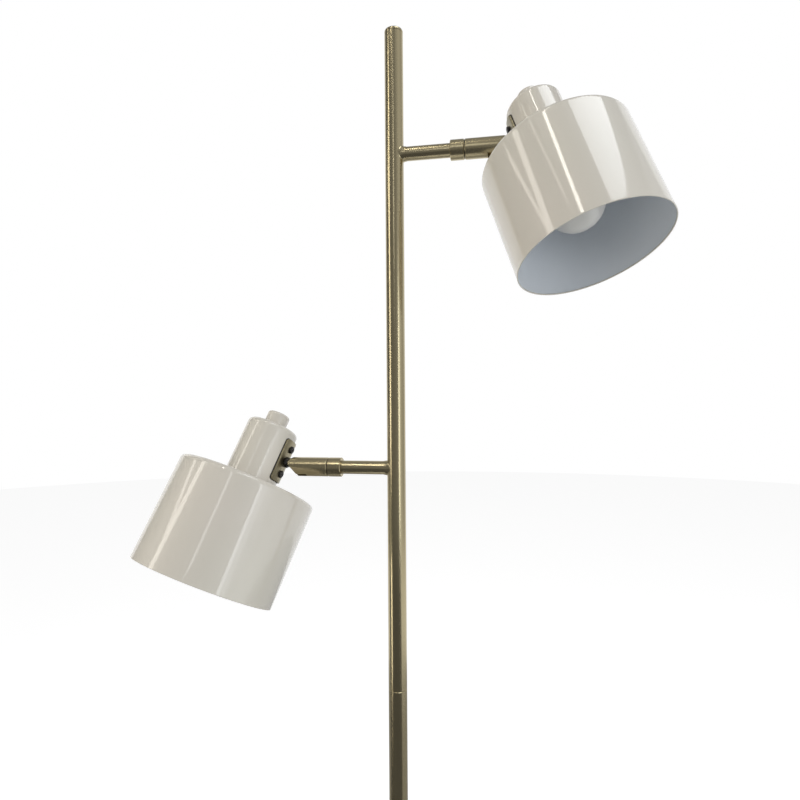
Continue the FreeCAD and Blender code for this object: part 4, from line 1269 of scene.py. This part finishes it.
def sheet(name, place_of, finish, steps=PANEL_STEPS):
    """A stage sheet from a function of two shares, 0..1 each."""
    corners = [place_of(u / steps, v / steps) for u in range(steps + 1) for v in range(steps + 1)]
    faces = [(corner, corner + 1, corner + steps + 2, corner + steps + 1)
             for row in range(steps)
             for corner in range(row * (steps + 1), row * (steps + 1) + steps)]
    mesh = bpy.data.meshes.new(name)
    mesh.from_pydata(corners, [], faces)
    item = added(name, mesh)
    dress(item, finish)
    item.visible_camera = False
    item.visible_transmission = False
    return item


def panel(name, about, left, right, brightness, colour=WHITE, away=FAR):
    """A light whose sides run between (azimuth, lowest, highest), as seen from a point."""
    def place_of(u, v):
        azimuth, low, high = (a + (b - a) * u for a, b in zip(left, right))
        return about + way(azimuth, low + (high - low) * v) * away
    return sheet(name, place_of, glowing(f"{name}_light", brightness, light=colour))


upper_head, lower_head = (HEADS[side].translation for side in ("upper", "lower"))
panel("right_window_edge", lower_head, (46, -13, 13), (50, -13, 13), 4.5, COOL)
panel("right_window", lower_head, (50, -13, 13), (57, -13, 13), 2.4, COOL)
panel("right_window_far", lower_head, (57, -13, 13), (68, -13, 13), 1.2, COOL)
panel("skylight", upper_head, (21, 48, 68), (98, 54, 76), 4.7, COOL)
panel("left_window", STAGE_CENTRE, (-66, -34, 42), (-58, -34, 42), 4.6, WARM, NEAR)
panel("left_tube", lower_head, (-84, 26, 29), (-57, 20, 23), 3.5, WARM)
panel("bright_tube", upper_head, (-26.5, 35, 64), (-22, 36, 64), 13.0, WARM)
panel("faint_tube", upper_head, (-47, 39, 42), (-36, 32, 35), 2.5, WARM)
panel("front_tube", lower_head, (-2, 16, 33), (2, 17, 36), 3.0)


def soft_light(name, azimuth, elevation, size, brightness, colour):
    """A broad disk of an even brightness, which the gloss doesn't show."""
    data = bpy.data.lights.new(name, "AREA")
    data.shape = "DISK"
    data.size = size
    data.energy = brightness * math.pi ** 2 * size ** 2 / 4
    data.color = colour
    item = added(name, data)
    facing = way(azimuth, elevation)
    item.matrix_world = (Matrix.Translation(STAGE_CENTRE + facing * NEAR)
                         @ facing.to_track_quat("Z", "Y").to_matrix().to_4x4())
    item.visible_camera = False
    item.visible_glossy = False


soft_light("low_fill", 75, -25, 0.9, 3.6, COOL)
soft_light("left_fill", -75, 5, 1.4, 1.1, WARM)
print("panels and fills stand", NEAR, "to", FAR, "m from the lamp")

# %% A dim room in front, seen only in reflections
WALL_RADIUS = 4.0
WALL_EDGES = (-116, 128)
CEILING = 5.0
CEILING_EYE = 0.01
MAT_INNER, MAT_HEIGHT = 0.3, 0.002
DARK_MAT_EDGES, GREY_MAT_EDGES = (-95, 60), (60, 265)
FLAG_STEPS = 48
WALL_TONES = ((-116, 0.16), (-40, 0.2), (20, 0.3), (70, 0.7), (128, 0.5))
CEILING_TONE = 0.35
DARK_MAT, GREY_MAT = 0.12, 0.38


def wall_glow(bench):
    """Brightness by direction, from the wall's own coordinates."""
    split = bench.node("ShaderNodeSeparateXYZ", sockets={0: place_on(bench)}, output="X")
    turn_angle = split.maths("ARCTAN2", split, 0.0 - split.part("Y"))
    share = turn_angle * (0.5 / math.pi) + 0.5
    ramp = bench.tree.nodes.new("ShaderNodeValToRGB")
    stops = ramp.color_ramp.elements
    while len(stops) < len(WALL_TONES):
        stops.new(0.5)
    for stop, (azimuth, tone) in zip(stops, WALL_TONES):
        stop.position = azimuth / 360 + 0.5
        stop.color = (tone, tone, tone, 1.0)
    bench.tree.links.new(share.socket, ramp.inputs[0])
    return Wire(bench, ramp.outputs["Color"])


def flag(name, azimuths, first, last, finish):
    """A sheet between two azimuths and two (radius, height) lines, that only gloss shows."""
    def place_of(u, v):
        radius, height = (a + (b - a) * v for a, b in zip(first, last))
        spoke = way(azimuths[0] + (azimuths[1] - azimuths[0]) * u, 0.0)
        return Vector((spoke.x * radius, spoke.y * radius, height))
    item = sheet(name, place_of, finish, steps=FLAG_STEPS)
    item.visible_diffuse = False
    item.visible_shadow = False
    item.visible_volume_scatter = False


flag("wall", WALL_EDGES, (WALL_RADIUS, 0.0), (WALL_RADIUS, CEILING),
     glowing("wall_tones", wall_glow))
flag("ceiling", (-180, 180), (CEILING_EYE, CEILING), (WALL_RADIUS, CEILING),
     glowing("ceiling_tone", CEILING_TONE))
flag("dark_mat", DARK_MAT_EDGES, (MAT_INNER, MAT_HEIGHT), (WALL_RADIUS, MAT_HEIGHT),
     glowing("dark_mat_tone", DARK_MAT))
flag("grey_mat", GREY_MAT_EDGES, (MAT_INNER, MAT_HEIGHT), (WALL_RADIUS / 2, MAT_HEIGHT),
     glowing("grey_mat_tone", GREY_MAT))
print("wall from azimuth", *WALL_EDGES)

# %% [markdown]
